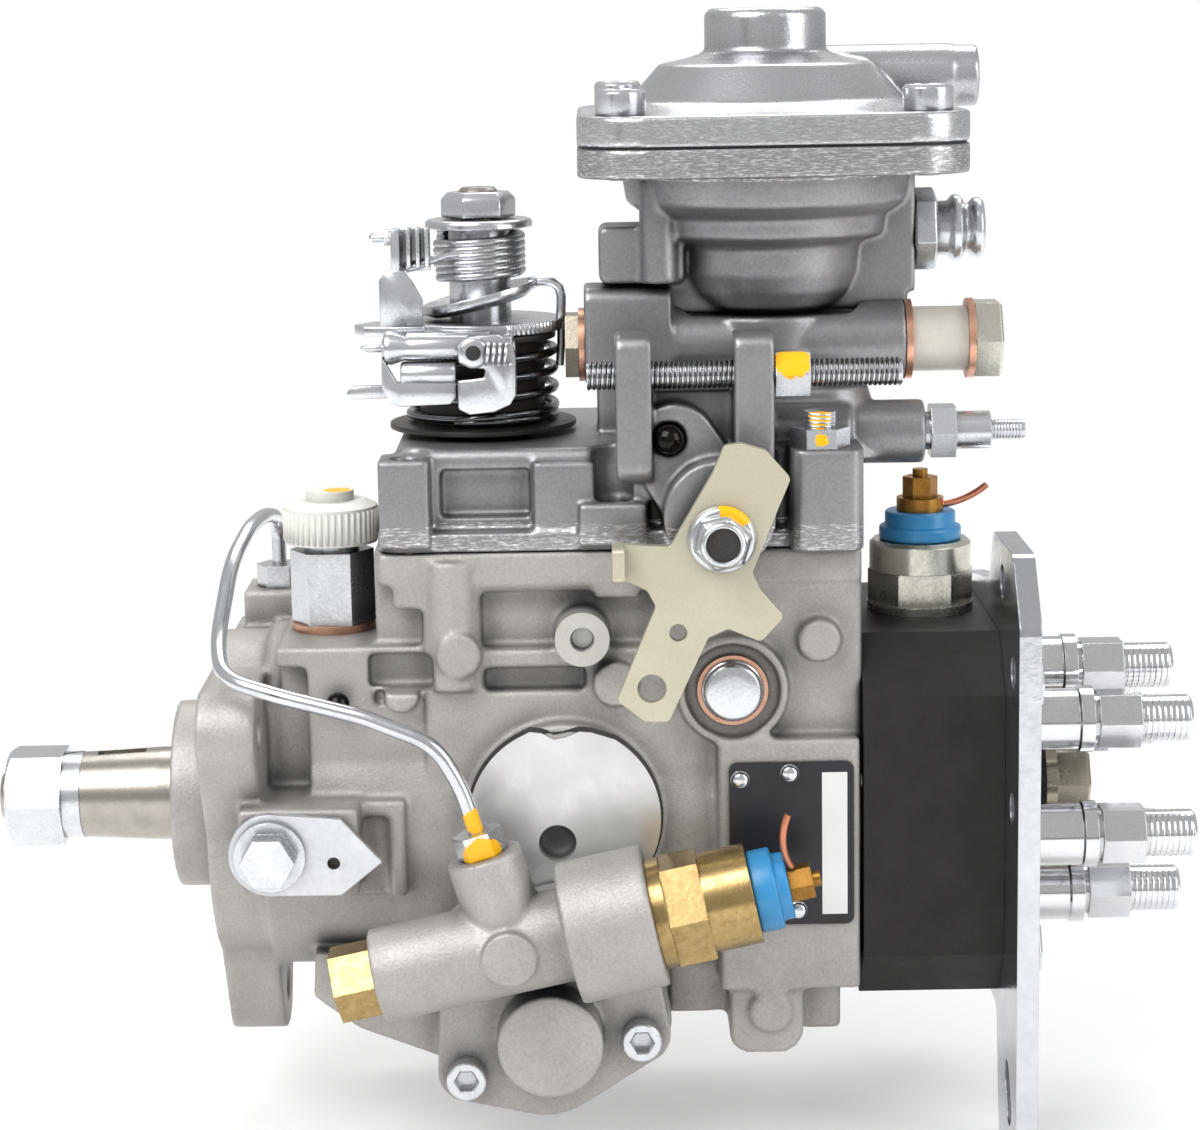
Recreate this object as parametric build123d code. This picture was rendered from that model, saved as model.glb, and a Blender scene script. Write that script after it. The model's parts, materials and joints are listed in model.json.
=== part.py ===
from build123d import *
import math
import os

os.makedirs("parts", exist_ok=True)

# Rotary distributor pump for a six-cylinder diesel engine.
# Frame: the drive axis lies along X, the coupling end looks towards -X, +Z is up,
# and the side with the stop lever looks towards -Y.
# Origin: the drive axis at the face of the mounting flange. All sizes in millimetres.

# Fits
RUN_FIT = 0.05
SLIDE_FIT = 0.1
GAP = 0.3

# Mounting flange and pilot
FLANGE_T = 15.0
PILOT_R = 25.0
PILOT_L = 12.0
BOLT_CIRCLE_R = 54.0
FLANGE_HOLE_R = 4.3
LUG_R = 12.0
LUG_ANGLES = (30, 150, 270)

# Housing
BARREL_R = 46.0
HOUSING_L = 168.0
HOUSING_TOP = 72.5
SHELF_TOP = 48.0
CHAMBER_X0 = 48.5
CHAMBER_X1 = HOUSING_L - 16.0
CHAMBER_W = 54.0
SIDE_Y = 44.0
PAD_Y = 49.0
BORE_R = 34.0
TOP_X0 = 46.0
BOX_X0 = 44.6
BOX_Y = 38.0
COLUMN_X0 = 57.0
TOP_FLANGE_T = 8.5
PIVOT_X = 119.0

# Drive shaft
SHAFT_R = 10.0
TAPER_BIG_R = 12.5
TAPER_SMALL_R = 11.5
TAPER_L = 21.0
THREAD_R = 7.0
NUT_AF = 24.0
NUT_T = 15.0
WASHER_T = 5.0
WASHER_R = 11.7
SEAL_R = 18.0
SEAL_T = 7.0
BUSH_R = 13.0
BUSH_L = 26.0
CLAW_W = 10.0
CLAW_IN = 8.0
CLAW_OUT = 15.0

# Vane feed pump
FEED_X = 26.5
FEED_W = 17.5
FEED_RING_R = 31.5
FEED_BORE_R = 24.0
FEED_OFFSET = 3.0
FEED_ROTOR_R = 20.0
VANE_T = 3.0
PLATE_T = 1.8

# Gears
MODULE = 1.5
DRIVE_TEETH = 37
GOVERNOR_TEETH = 23
GEAR_X = 50.0
GEAR_W = 7.5
PRESSURE_ANGLE = 20.0
BACKLASH = 0.25
GOVERNOR_Z = MODULE * (DRIVE_TEETH + GOVERNOR_TEETH) / 2 + 0.1

# Governor
GOVERNOR_SHAFT_R = 4.0
CAGE_R = 21.0
CAGE_L = 22.0
SLEEVE_R = 7.0
SLEEVE_L = 28.0
NOSE_R = 2.5
WEIGHTS = 4
WEIGHT_W = 12.0
LEVER_T = 3.5
LEVER_W = 18.0
LEVER_PIVOT_Z = 31.0
BALL_R = 3.0
BALL_Z = 12.3

# Roller ring and cam disc
TIMING_X = 86.0
TIMING_Z = -49.0
RING_L = 11.0
ROLLER_R = 6.0
ROLLER_IN = 19.0
ROLLER_OUT = 29.0
ROLLERS = 3
ROLLER_TURN = 0.0
LOBE_TURN = 30.0
LOBE_HALF_W = 7.0
LIFT = 2.8
LOBES = 6
CAM_R = 30.0
CAM_T = 7.0
PLUNGER_R = 5.5
FOOT_R = 8.0
FOOT_T = 2.0
BRIDGE_T = 3.0
CONTROL_R = 12.0
CONTROL_L = 12.0
PLUNGER_SPRING_Y = 23.0

# Timing piston
PISTON_R = 12.5
PISTON_L = 44.0
TIMING_STROKE = 8.0
TIMING_BORE_L = 49.0
PIN_R = 3.5

# Distributor head and outlets
HEAD_L = 36.0
HEAD_W = 96.0
HEAD_CHAMFER = 14.0
OUTLETS = 6
OUTLET_R = 30.0
OUTLET_TURN = 15.0
OUTLET_L = 52.0
OUTLET_THREAD_R = 6.0
OUTLET_AF = 14.0
HEAD_SCREW_R = 42.0
PLUG_BOSS_L = 16.0
PLUG_BOSS_R = 13.0

# Rear bracket
BRACKET_T = 5.5
BRACKET_NEAR = 72.0
BRACKET_TOP = 72.0
BRACKET_BOTTOM = 85.0
BRACKET_SCREW = 35.5
BRACKET_BORE_R = 40.5

# Governor cover
COVER_TOP = 98.0
COVER_WALL = 6.0
COVER_FLANGE_T = 5.0
PEDESTAL_TOP = 128.0
ARM_Z = 120.5
ARM_Y = -8.0
ARM_R = 10.5
ARM_L = 35.0
SPACER_L = 14.4
COPPER_T = 1.8

# Boost unit
BOOST_X = HOUSING_L - 21.0
BOOST_W = 98.0
BOOST_CORNER = 16.0
BOOST_SPLIT = 172.0
BOOST_LOWER_T = 7.0
BOOST_UPPER_T = 7.0
BOOST_TOP = 206.0
BOOST_CAP_R = 15.7
BOOST_SCREW = 38.0
DIAPHRAGM_T = 1.5
VENT_X = BOOST_X + 38.0
VENT_Z = 148.5
PORT_R = 8.0
PORT_Y = 14.0
PORT_Z = 187.5

# Throttle
THROTTLE_X = 72.0
THROTTLE_Y = -4.0
THROTTLE_SHAFT_R = 5.0
THROTTLE_BASE_R = 24.5
LOWER_COIL_R = 19.0
LOWER_WIRE = 3.2
UPPER_COIL_R = 10.0
UPPER_WIRE = 2.6

# Stop lever
STOP_X = HOUSING_L - 36.0
STOP_Z = 78.0
STOP_Y = -60.0
STOP_SHAFT_R = 5.0
STOP_PLATE_T = 3.0

# Shut-off solenoid
SHUTOFF_X = HOUSING_L + HEAD_L / 2 + 1.0
SHUTOFF_Y = -3.0

# Cold-start unit
COLD_TILT = 12.0
COLD_X = 79.0
COLD_Z = -22.5
COLD_Y = -70.0
COLD_SCREWS = ((66.0, -59.5), (110.5, -50.0))
COVER_Y0 = 50.0
COVER_Y1 = 60.0
M6_HEAD_R = 5.0
M6_HEAD_L = 6.0
M6_R = 3.0

# Small parts: inlet, lock bolt, adjusting screws
INLET_X = 32.0
INLET_Y = -15.0
LOCK_X = 18.0
LOCK_Z = -1.0
BALL_PLUG_R = 3.7
FULL_Y = -20.0
FULL_Z = 98.0
FULL_HOUSING_L = 18.0
STUD_X = HOUSING_L - 10.5
STUD_Y = -45.0
SPEED_Y = -44.0
SPEED_Z = 116.5

# Wire stubs on the terminals
WIRE_R = 0.9

# Fuel line
LINE_R = 2.0
LINE_NUT_L = 6.0
LINE_POINTS = (
    (70.2, COLD_Y, 7.0), (67.0, COLD_Y, 18.0), (60.5, -70.5, 29.5), (43.0, -68.0, 36.0), (22.0, -65.0, 41.0),
    (7.5, -58.0, 44.0), (4.5, -42.0, 50.0), (6.5, -22.0, 67.0), (9.5, -4.0, 73.0), (12.0, 10.0, 74.0), (14.0, 25.0, 71.0),
    (14.0, 25.0, 58.0),
)

# Round cast bosses on the near side: radius, rise above the pad, X, Z
CAST_BOSSES = (
    (6.8, 2.0, 97.2, 51.0), (5.7, 0.0, 66.0, 46.6), (4.5, -1.0, 51.0, 36.4), (5.5, 0.0, 157.0, 49.0),
    (5.5, 1.0, 144.0, -48.0), (5.8, -0.5, 105.5, 38.6),
)

# Stop lever's outline from its shaft: X, Z
STOP_OUTLINE = (
    (0.8, 23.2), (5.0, 23.7), (11.0, 21.8), (17.0, 14.8), (14.0, 7.7), (7.4, -8.4), (9.3, -12.7), (15.2, -19.6),
    (9.4, -25.8), (1.3, -22.4), (-3.6, -24.6), (-13.6, -45.7), (-19.5, -45.6), (-26.4, -40.1), (-16.4, -16.5), (-18.5, -12.5),
    (-27.0, -8.3), (-26.7, -0.8), (-12.7, -1.6), (-2.0, 16.6),
)

# Stations along the drive axis
HEAD_X1 = HOUSING_L + HEAD_L
RING_X0 = TIMING_X - 7.0
ROLLER_X = RING_X0 + 8.0
CREST_X = ROLLER_X + ROLLER_R + 0.15
CAM_X0 = CREST_X + LIFT
CAM_X1 = CAM_X0 + CAM_T
FOOT_X1 = CAM_X1 + FOOT_T
BRIDGE_X1 = FOOT_X1 + BRIDGE_T
CONTROL_X0 = PIVOT_X - CONTROL_L / 2
TAPER_X1 = -PILOT_L - 5.0
TAPER_X0 = TAPER_X1 - TAPER_L
WASHER_X0 = TAPER_X0 - WASHER_T
NUT_X0 = WASHER_X0 - NUT_T


def block(x0, x1, y0, y1, z0, z1):
    return Pos(x0, y0, z0) * Box(x1 - x0, y1 - y0, z1 - z0, align=(Align.MIN,) * 3)


def rod_x(r, x0, x1, y=0.0, z=0.0):
    return extrude(Plane.YZ.offset(x0) * Pos(y, z) * Circle(r), x1 - x0)


def rod_y(r, y0, y1, x, z):
    return extrude(Plane.XZ.offset(-y1) * Pos(x, z) * Circle(r), y1 - y0)


def rod_z(r, z0, z1, x, y):
    return extrude(Plane.XY.offset(z0) * Pos(x, y) * Circle(r), z1 - z0)


def hexagon(af):
    return RegularPolygon(af / math.sqrt(3), 6)


def hex_x(af, x0, x1, y=0.0, z=0.0):
    return extrude(Plane.YZ.offset(x0) * Pos(y, z) * hexagon(af), x1 - x0)


def hex_y(af, y0, y1, x, z):
    return extrude(Plane.XZ.offset(-y1) * Pos(x, z) * hexagon(af), y1 - y0)


def hex_z(af, z0, z1, x, y):
    return extrude(Plane.XY.offset(z0) * Pos(x, y) * hexagon(af), z1 - z0)


def turned_x(*profile):
    first = (profile[0][0], 0.0)
    last = (profile[-1][0], 0.0)
    outline = Polyline(first, *profile, last, close=True)
    return revolve(make_face(outline), Axis.X)


def turned_z(x, y, *profile):
    first = (0.0, profile[0][1])
    last = (0.0, profile[-1][1])
    outline = Polyline(first, *profile, last, close=True)
    return Pos(x, y, 0) * revolve(Plane.XZ * make_face(outline), Axis.Z)


def spring(coil_r, wire, length, turns):
    path = Helix(length / turns, length, coil_r)
    section = Plane(path @ 0, z_dir=path % 0) * Circle(wire / 2)
    return sweep(section, path, is_frenet=True)


def ring_of(shape, count, start=0.0):
    return [Rot(start + 360.0 * i / count, 0, 0) * shape for i in range(count)]


def save(shape, name):
    export_step(shape, f"parts/{name}.step")


def group(shapes, name):
    save(Compound(children=list(shapes)), name)


def socket_screw(head_r, head_l, r, length):
    # Head above the seat at Z = 0, shank below it.
    head = Cylinder(head_r, head_l, align=(Align.CENTER, Align.CENTER, Align.MIN))
    socket = Pos(0, 0, head_l / 2) * extrude(hexagon(head_r), head_l)
    shank = Cylinder(r, length, align=(Align.CENTER, Align.CENTER, Align.MAX))
    return chamfer((head - socket + shank).edges().group_by(Axis.Z)[-1], 0.4)


def towards_near(shape):
    return Rot(90, 0, 0) * shape


def towards_rear(shape):
    return Rot(0, 90, 0) * shape


# Drive train

def shaft_profile():
    seat = -PILOT_L - 0.5
    taper_end = -PILOT_L - 5.0
    taper_start = taper_end - TAPER_L
    thread_end = taper_start - WASHER_T - NUT_T - 2.0
    return (
        (thread_end, THREAD_R - 1.0),
        (thread_end + 1.0, THREAD_R),
        (taper_start, THREAD_R),
        (taper_start, TAPER_SMALL_R),
        (taper_end, TAPER_BIG_R),
        (seat, TAPER_BIG_R),
        (seat, SHAFT_R + 1.0),
        (-3.0, SHAFT_R + 1.0),
        (-3.0, SHAFT_R),
        (RING_X0 - 12.0, SHAFT_R),
        (RING_X0 - 12.0, CLAW_OUT),
        (RING_X0 - 6.0, CLAW_OUT),
    )


def claws(x1, fit=0.0):
    x0 = RING_X0 - 6.0
    one = block(x0, x1, -CLAW_W / 2 - fit, CLAW_W / 2 + fit, CLAW_IN - fit, CLAW_OUT + fit)
    return one + Rot(180, 0, 0) * one


def make_drive_shaft():
    shaft = turned_x(*shaft_profile())
    groove = block(FEED_X, FEED_X + 6.0, -2.0, 2.0, SHAFT_R - 2.0, SHAFT_R + 2.0)
    key_seat = block(TAPER_X0 + 4.0, TAPER_X1 - 4.0, -2.5, 2.5, TAPER_SMALL_R - 1.5, TAPER_BIG_R + 2)
    return shaft + claws(CAM_X1 - 1.0 - LIFT - SLIDE_FIT) - groove - key_seat


def make_nut():
    x1 = NUT_X0 + NUT_T
    nut = hex_x(NUT_AF, NUT_X0, x1)
    cone = turned_x((NUT_X0, NUT_AF / 2 - 0.5), (NUT_X0 + 2.0, NUT_AF * 0.6), (x1, NUT_AF * 0.6))
    return (nut & cone) - rod_x(THREAD_R, NUT_X0, x1)


def make_lock_washer():
    ring = rod_x(WASHER_R, WASHER_X0, TAPER_X0) - rod_x(THREAD_R, WASHER_X0, TAPER_X0)
    split = Pos(WASHER_X0 + WASHER_T / 2, 0, WASHER_R) * Rot(0, 0, 25) * Box(30, 1.2, 14)
    return ring - split


def gear_outline(teeth, turn):
    pitch_r = MODULE * teeth / 2
    angle = math.radians(PRESSURE_ANGLE)
    base_r = pitch_r * math.cos(angle)
    tip_r = pitch_r + MODULE
    root_r = pitch_r - 1.25 * MODULE
    half = math.pi / (2 * teeth) - BACKLASH / (2 * pitch_r) + math.tan(angle) - angle
    steps = (max(base_r, root_r + 0.2), pitch_r, tip_r)
    points = []
    for tooth in range(teeth):
        centre = math.radians(turn) + 2 * math.pi * tooth / teeth
        right = []
        left = []
        for r in steps:
            roll = math.acos(min(1.0, base_r / r))
            side = half - (math.tan(roll) - roll)
            right.append((r * math.cos(centre - side), r * math.sin(centre - side)))
            left.append((r * math.cos(centre + side), r * math.sin(centre + side)))
        foot = half + 0.02
        points.append((root_r * math.cos(centre - foot), root_r * math.sin(centre - foot)))
        points.extend(right)
        points.extend(reversed(left))
        points.append((root_r * math.cos(centre + foot), root_r * math.sin(centre + foot)))
    return make_face(Polyline(*points, close=True))


def make_drive_gear():
    gear = extrude(Plane.YZ.offset(GEAR_X) * gear_outline(DRIVE_TEETH, 90.0), GEAR_W)
    web = turned_x((GEAR_X + 5.0, 23.0), (GEAR_X + GEAR_W, 23.0)) - rod_x(14.0, GEAR_X, GEAR_X + GEAR_W)
    return gear - rod_x(SHAFT_R, GEAR_X - 1, GEAR_X + GEAR_W + 1) - web


def make_feed_rotor():
    rotor = rod_x(FEED_ROTOR_R, FEED_X + 0.05, FEED_X + FEED_W - 0.05)
    blade = block(FEED_X + 0.05, FEED_X + FEED_W - 0.05, -VANE_T / 2, VANE_T / 2, 12, FEED_ROTOR_R + 0.7)
    for vane in ring_of(blade, 4, 45.0):
        rotor += vane
    return rotor - rod_x(SHAFT_R, FEED_X - 1, FEED_X + FEED_W + 1)


def make_feed_ring():
    ring = rod_x(FEED_RING_R, FEED_X, FEED_X + FEED_W)
    return ring - rod_x(FEED_BORE_R, FEED_X - 1, FEED_X + FEED_W + 1, 0, FEED_OFFSET)


def make_feed_plate():
    x0 = FEED_X + FEED_W
    plate = rod_x(FEED_RING_R, x0, x0 + PLATE_T) - rod_x(SHAFT_R + 0.5, x0 - 1, x0 + PLATE_T + 1)
    return plate - rod_x(2.0, x0 - 1, x0 + PLATE_T + 1, 24, 12) - rod_x(2.0, x0 - 1, x0 + PLATE_T + 1, -24, -12)


# Cam, rollers and plunger

def cam_lobe():
    arc = ThreePointArc((-LOBE_HALF_W, 0.0), (0.0, LIFT), (LOBE_HALF_W, 0.0))
    face = make_face([arc, Line((LOBE_HALF_W, 0.0), (-LOBE_HALF_W, 0.0))])
    bump = extrude(face, ROLLER_OUT - ROLLER_IN + 2.0)
    # The profile stands tangentially at the roller circle and is drawn outwards from it.
    placed = Plane(origin=(CAM_X0, 0, ROLLER_IN - 1.0), x_dir=(0, 1, 0), z_dir=(0, 0, 1))
    return placed * bump


def make_cam_disc():
    disc = rod_x(CAM_R, CAM_X0, CAM_X1)
    lobes = ring_of(cam_lobe(), LOBES, LOBE_TURN)
    band = rod_x(ROLLER_OUT + 0.8, CREST_X - 1, CAM_X1) - rod_x(ROLLER_IN - 0.8, CREST_X - 1, CAM_X1)
    for lobe in lobes:
        disc += lobe & band
    return disc - claws(CAM_X1 - 1.0, SLIDE_FIT) - rod_x(4.0, CAM_X0 - 1, CAM_X1 + 1)


def make_plunger():
    foot = rod_x(FOOT_R, CAM_X1, FOOT_X1)
    body = rod_x(PLUNGER_R, FOOT_X1, HOUSING_L + 26.0)
    nose = rod_x(4.0, CAM_X0 + 1.0, CAM_X1)
    return foot + body + nose - rod_x(1.0, HOUSING_L - 20.0, HOUSING_L + 27.0)


def make_spring_bridge():
    plate = extrude(Plane.YZ.offset(FOOT_X1 + SLIDE_FIT) * SlotOverall(2 * PLUNGER_SPRING_Y + 16, 16), BRIDGE_T)
    return plate - rod_x(PLUNGER_R + SLIDE_FIT, FOOT_X1 - 1, BRIDGE_X1 + 1)


def make_plunger_springs():
    x0 = BRIDGE_X1 + SLIDE_FIT + 1.0
    length = HOUSING_L - 2.0 - x0
    coil = Pos(x0, 0, 0) * Rot(0, 90, 0) * spring(5.5, 2.0, length, 7)
    return [Pos(0, side * PLUNGER_SPRING_Y, 0) * coil for side in (-1, 1)]


def make_roller_ring():
    x1 = RING_X0 + RING_L
    ring = rod_x(BORE_R - RUN_FIT, RING_X0, x1) - rod_x(CLAW_OUT + 2.0, RING_X0 - 1, x1 + 1)
    slot = block(ROLLER_X - ROLLER_R - 0.1, x1 + 1, -ROLLER_R - 0.1, ROLLER_R + 0.1, ROLLER_IN - 0.2, ROLLER_OUT + 0.2)
    for pocket in ring_of(slot, ROLLERS, ROLLER_TURN):
        ring -= pocket
    pin = rod_z(PIN_R, TIMING_Z - 5.0, -BORE_R + 6.0, TIMING_X, 0)
    return ring + (pin - rod_x(30.0, RING_X0, x1))


def make_rollers():
    roller = rod_z(ROLLER_R, ROLLER_IN, ROLLER_OUT, ROLLER_X, 0)
    return ring_of(chamfer(roller.edges(), 0.6), ROLLERS, ROLLER_TURN)


def make_control_sleeve():
    x1 = CONTROL_X0 + CONTROL_L
    sleeve = rod_x(CONTROL_R, CONTROL_X0, x1) - rod_x(PLUNGER_R + RUN_FIT, CONTROL_X0 - 1, x1 + 1)
    return sleeve - rod_z(BALL_R + 0.2, 8.6, CONTROL_R + 1, PIVOT_X, 0)


# Governor

def make_governor_shaft():
    return rod_x(GOVERNOR_SHAFT_R, 26.0, GEAR_X + GEAR_W + CAGE_L + SLEEVE_L - 8.0, 0, GOVERNOR_Z)


def make_governor_cage():
    x0 = GEAR_X + GEAR_W
    x1 = x0 + CAGE_L
    gear = extrude(Plane.YZ.offset(GEAR_X) * gear_outline(GOVERNOR_TEETH, 270.0 + 180.0 / GOVERNOR_TEETH), GEAR_W)
    back = rod_x(CAGE_R, x0, x0 + 3.0)
    post = block(x0, x1 - 3.0, 14.0, 18.0, -3.5, 3.5)
    cage = gear + back
    for arm in ring_of(post, WEIGHTS, 45.0):
        cage += arm
    cage -= rod_x(GOVERNOR_SHAFT_R + RUN_FIT, GEAR_X - 1, x1)
    return Pos(0, 0, GOVERNOR_Z) * cage


def make_flyweights():
    x0 = GEAR_X + GEAR_W + 3.5
    weight = block(x0, x0 + 12.0, 9.5, 19.0, -WEIGHT_W / 2, WEIGHT_W / 2)
    weight &= rod_x(CAGE_R - 1.0, x0, x0 + 12.0)
    toe = block(x0 + 9.0, x0 + 15.0, 6.0, 11.0, -3.0, 3.0)
    return [Pos(0, 0, GOVERNOR_Z) * piece for piece in ring_of(weight + toe, WEIGHTS)]


def make_governor_sleeve():
    x0 = GEAR_X + GEAR_W + CAGE_L - 3.0
    x1 = PIVOT_X - LEVER_T / 2 - GAP
    body = rod_x(SLEEVE_R, x0, x1 - 6.0) + rod_x(NOSE_R, x1 - 7.0, x1)
    flange = rod_x(10.0, x0, x0 + 2.0)
    body = body + flange - rod_x(GOVERNOR_SHAFT_R + RUN_FIT, x0 - 1, x1 - 8.0)
    return Pos(0, 0, GOVERNOR_Z) * body


def make_governor_lever():
    x0 = PIVOT_X - LEVER_T / 2
    plate = block(x0, x0 + LEVER_T, -LEVER_W / 2, LEVER_W / 2, 20.0, GOVERNOR_Z + 14.0)
    plate = fillet(plate.edges().filter_by(Axis.X), 3.0)
    pivot = rod_y(3.0, -CHAMBER_W / 2 - 4.0, CHAMBER_W / 2 + 4.0, PIVOT_X, LEVER_PIVOT_Z)
    neck = rod_z(1.9, BALL_Z, 21.0, PIVOT_X, 0)
    return plate + pivot + neck + Pos(PIVOT_X, 0, BALL_Z) * Sphere(BALL_R)


# Timing piston

def make_timing_piston():
    half = PISTON_L / 2
    piston = rod_y(PISTON_R - RUN_FIT, -half, half, TIMING_X, TIMING_Z)
    piston -= rod_y(8.5, half - 12.0, half + 1, TIMING_X, TIMING_Z)
    slot = block(TIMING_X - PIN_R - SLIDE_FIT, TIMING_X + PIN_R + SLIDE_FIT, -6.4, 6.4, TIMING_Z - 8.0, 0.0)
    return piston - slot


def make_timing_spring():
    y0 = PISTON_L / 2 - 12.0
    coil = Pos(TIMING_X, y0 + 1.4, TIMING_Z) * Rot(-90, 0, 0)
    return coil * spring(6.5, 2.0, TIMING_BORE_L - y0 - 2.8, 6)


# Housing

def flange_outline():
    lugs = Sketch()
    centres = [(BOLT_CIRCLE_R * math.cos(math.radians(a)), BOLT_CIRCLE_R * math.sin(math.radians(a)))
               for a in LUG_ANGLES]
    for centre in centres:
        lugs += Pos(*centre) * Circle(LUG_R)
    hull = make_hull(lugs.edges())
    return hull + Circle(BARREL_R - 2.0), centres


def cast_pockets(body):
    # Hollows of the casting: beside the column, under its rib, and behind the flange on both sides.
    body -= block(71.5, 117.0, -SIDE_Y - 2.0, -SIDE_Y + 6.0, 47.2, 62.0)
    body -= block(72.0, 98.0, -SIDE_Y - 2.0, -SIDE_Y + 5.0, 36.5, 42.4)
    for side in (-1, 1):
        far = side * (FEED_RING_R + 1.8)
        body -= block(FLANGE_T + 0.5, FEED_X + 0.5, min(far, side * 60.0), max(far, side * 60.0), 8.0, 43.0)
    return body


def timing_body():
    # A web from the barrel down to the piston's bore, with the cover's face towards -Y.
    ends = TIMING_BORE_L + 1.0
    web = Pos(TIMING_X, TIMING_Z) * Circle(PISTON_R + 4.5)
    web += Pos(TIMING_X - 16.0, -26.0) * Circle(7.0) + Pos(TIMING_X + 20.0, -26.0) * Circle(7.0)
    face = web + Pos(COLD_SCREWS[0]) * Circle(8.0) + Pos(COLD_SCREWS[1]) * Circle(8.0)
    body = extrude(Plane.XZ.offset(-30.0) * make_hull(web.edges()), 30.0 + ends - 10.0)
    body += extrude(Plane.XZ.offset(ends - 12.0) * make_hull(face.edges()), 12.0)
    return body + rod_y(PISTON_R + 4.5, 20.0, ends, TIMING_X, TIMING_Z)


def far_ribs():
    ribs = block(FLANGE_T, HOUSING_L, SIDE_Y - 4.0, SIDE_Y + 2.0, 43.0, 47.0)
    ribs += block(FLANGE_T, HOUSING_L, SIDE_Y - 4.0, SIDE_Y + 2.5, 18.0, 22.0)
    return ribs + rod_y(11.0, 20.0, PAD_Y, 110.0, 33.0) + rod_y(7.0, 20.0, PAD_Y, 72.0, 56.0)


def lock_frame():
    # The raised corner round the lock plate's tip.
    frame = block(36.3, 51.3, -PAD_Y, -38.0, 5.4, 9.4) + block(47.2, 51.3, -PAD_Y, -38.0, -16.0, 9.4)
    return frame + block(36.3, 47.2, -PAD_Y + 2.4, -38.0, -16.0, 5.4)


def make_housing():
    outline, centres = flange_outline()
    body = extrude(Plane.YZ * outline, FLANGE_T)
    body += rod_x(PILOT_R, -PILOT_L, 1.0)
    body += rod_x(BARREL_R, FLANGE_T - 1.0, HOUSING_L)
    body += block(FLANGE_T + 4.0, HOUSING_L, -SIDE_Y + 2.0, SIDE_Y - 2.0, -20.0, SHELF_TOP)
    body += block(BOX_X0, HOUSING_L, -BOX_Y, BOX_Y, 0.0, HOUSING_TOP)
    body += block(COLUMN_X0, HOUSING_L, -SIDE_Y, SIDE_Y, 0.0, HOUSING_TOP)
    body += block(TOP_X0, HOUSING_L, -SIDE_Y - 1.0, SIDE_Y + 1.0, HOUSING_TOP - TOP_FLANGE_T, HOUSING_TOP)
    body += timing_body()
    body += rod_y(24.7, -PAD_Y, -20.0, 92.0, 4.0)
    body += block(131.0, 167.0, -PAD_Y - 1.0, -20.0, -42.0, 24.0)
    body += rod_y(14.1, -PAD_Y, -20.0, 135.0, 36.5)
    body = cast_pockets(body)
    body += rod_z(7.4, 37.0, HOUSING_TOP - 2.0, 64.2, -SIDE_Y + 3.5)
    for r, rise, x, z in CAST_BOSSES:
        body += rod_y(r, -PAD_Y - rise, -20.0, x, z)
    body += block(133.5, 152.5, -PAD_Y + 1.0, -10.0, -65.0, -30.0)
    body += lock_frame() + far_ribs()
    body += block(10.0, 40.0, -58.0, -20.0, -12.0, 10.0)
    body += make_line_socket()
    for y, z in head_screw_places():
        body -= rod_x(M6_R, HOUSING_L - 10.5, HOUSING_L + 1.0, y, z)
    for x, y in cover_screw_places():
        body -= rod_z(M6_R, HOUSING_TOP - 12.0, HOUSING_TOP + 1.0, x, y)
    for x, z in COLD_SCREWS:
        body -= rod_y(M6_R, -COVER_Y0 - 1.0, -COVER_Y0 + 7.0, x, z)
    for y, z in centres:
        body -= rod_x(FLANGE_HOLE_R, -1.0, FLANGE_T + 1.0, y, z)
        body -= rod_x(LUG_R - 2.0, FLANGE_T, FLANGE_T + 3.0, y, z)
    body -= rod_x(SEAL_R, -PILOT_L - 1, -PILOT_L + SEAL_T + 1.0)
    body -= rod_x(BUSH_R, -PILOT_L, FEED_X)
    body -= rod_x(FEED_RING_R, FEED_X, FEED_X + FEED_W + 2.0)
    body -= rod_x(BORE_R, FEED_X + FEED_W, HOUSING_L + 1.0)
    body -= block(CHAMBER_X0, CHAMBER_X1, -CHAMBER_W / 2, CHAMBER_W / 2, 0.0, HOUSING_TOP + 1.0)
    body -= rod_x(GOVERNOR_SHAFT_R, 26.0, CHAMBER_X0 + 1, 0, GOVERNOR_Z)
    body -= rod_y(3.0 + RUN_FIT, -CHAMBER_W / 2 - 4.5, CHAMBER_W / 2 + 4.5, PIVOT_X, LEVER_PIVOT_Z)
    body -= rod_y(PISTON_R, -TIMING_BORE_L - 2.0, TIMING_BORE_L, TIMING_X, TIMING_Z)
    body -= block(TIMING_X - 5.0, TIMING_X + 5.0, -14.0, 14.0, TIMING_Z + 5.0, -BORE_R + 4.0)
    body -= rod_y(4.8, -PAD_Y - 1.0, -PAD_Y + 6.0, 90.0, -2.2)
    body -= rod_y(12.0, -PAD_Y - 1.0, -PAD_Y + 3.0, 135.0, 36.5)
    body -= rod_y(6.0, -PAD_Y - 1.0, -PAD_Y + 12.0, 135.0, 36.5)
    body -= rod_y(2.75, -PAD_Y - 4.0, -PAD_Y + 6.0, 97.2, 51.0)
    body -= rod_z(7.0, SHELF_TOP - 10.0, SHELF_TOP + 1.0, INLET_X, INLET_Y)
    body -= rod_y(4.0, -59.0, -40.0, LOCK_X, LOCK_Z)
    return body


# Distributor head, outlets and rear bracket

def outlet_places():
    angles = [math.radians(OUTLET_TURN + 360.0 * i / OUTLETS) for i in range(OUTLETS)]
    return [(OUTLET_R * math.cos(a), OUTLET_R * math.sin(a)) for a in angles]


def head_screw_places():
    angles = [math.radians(a + OUTLET_TURN + 90.0) for a in (-60, 60, 180, 240)]
    return [(HEAD_SCREW_R * math.cos(a), HEAD_SCREW_R * math.sin(a)) for a in angles]


def bracket_screw_places():
    return [(-BRACKET_SCREW, BRACKET_SCREW), (-BRACKET_SCREW, -BRACKET_SCREW), (42.0, 24.0)]


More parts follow.
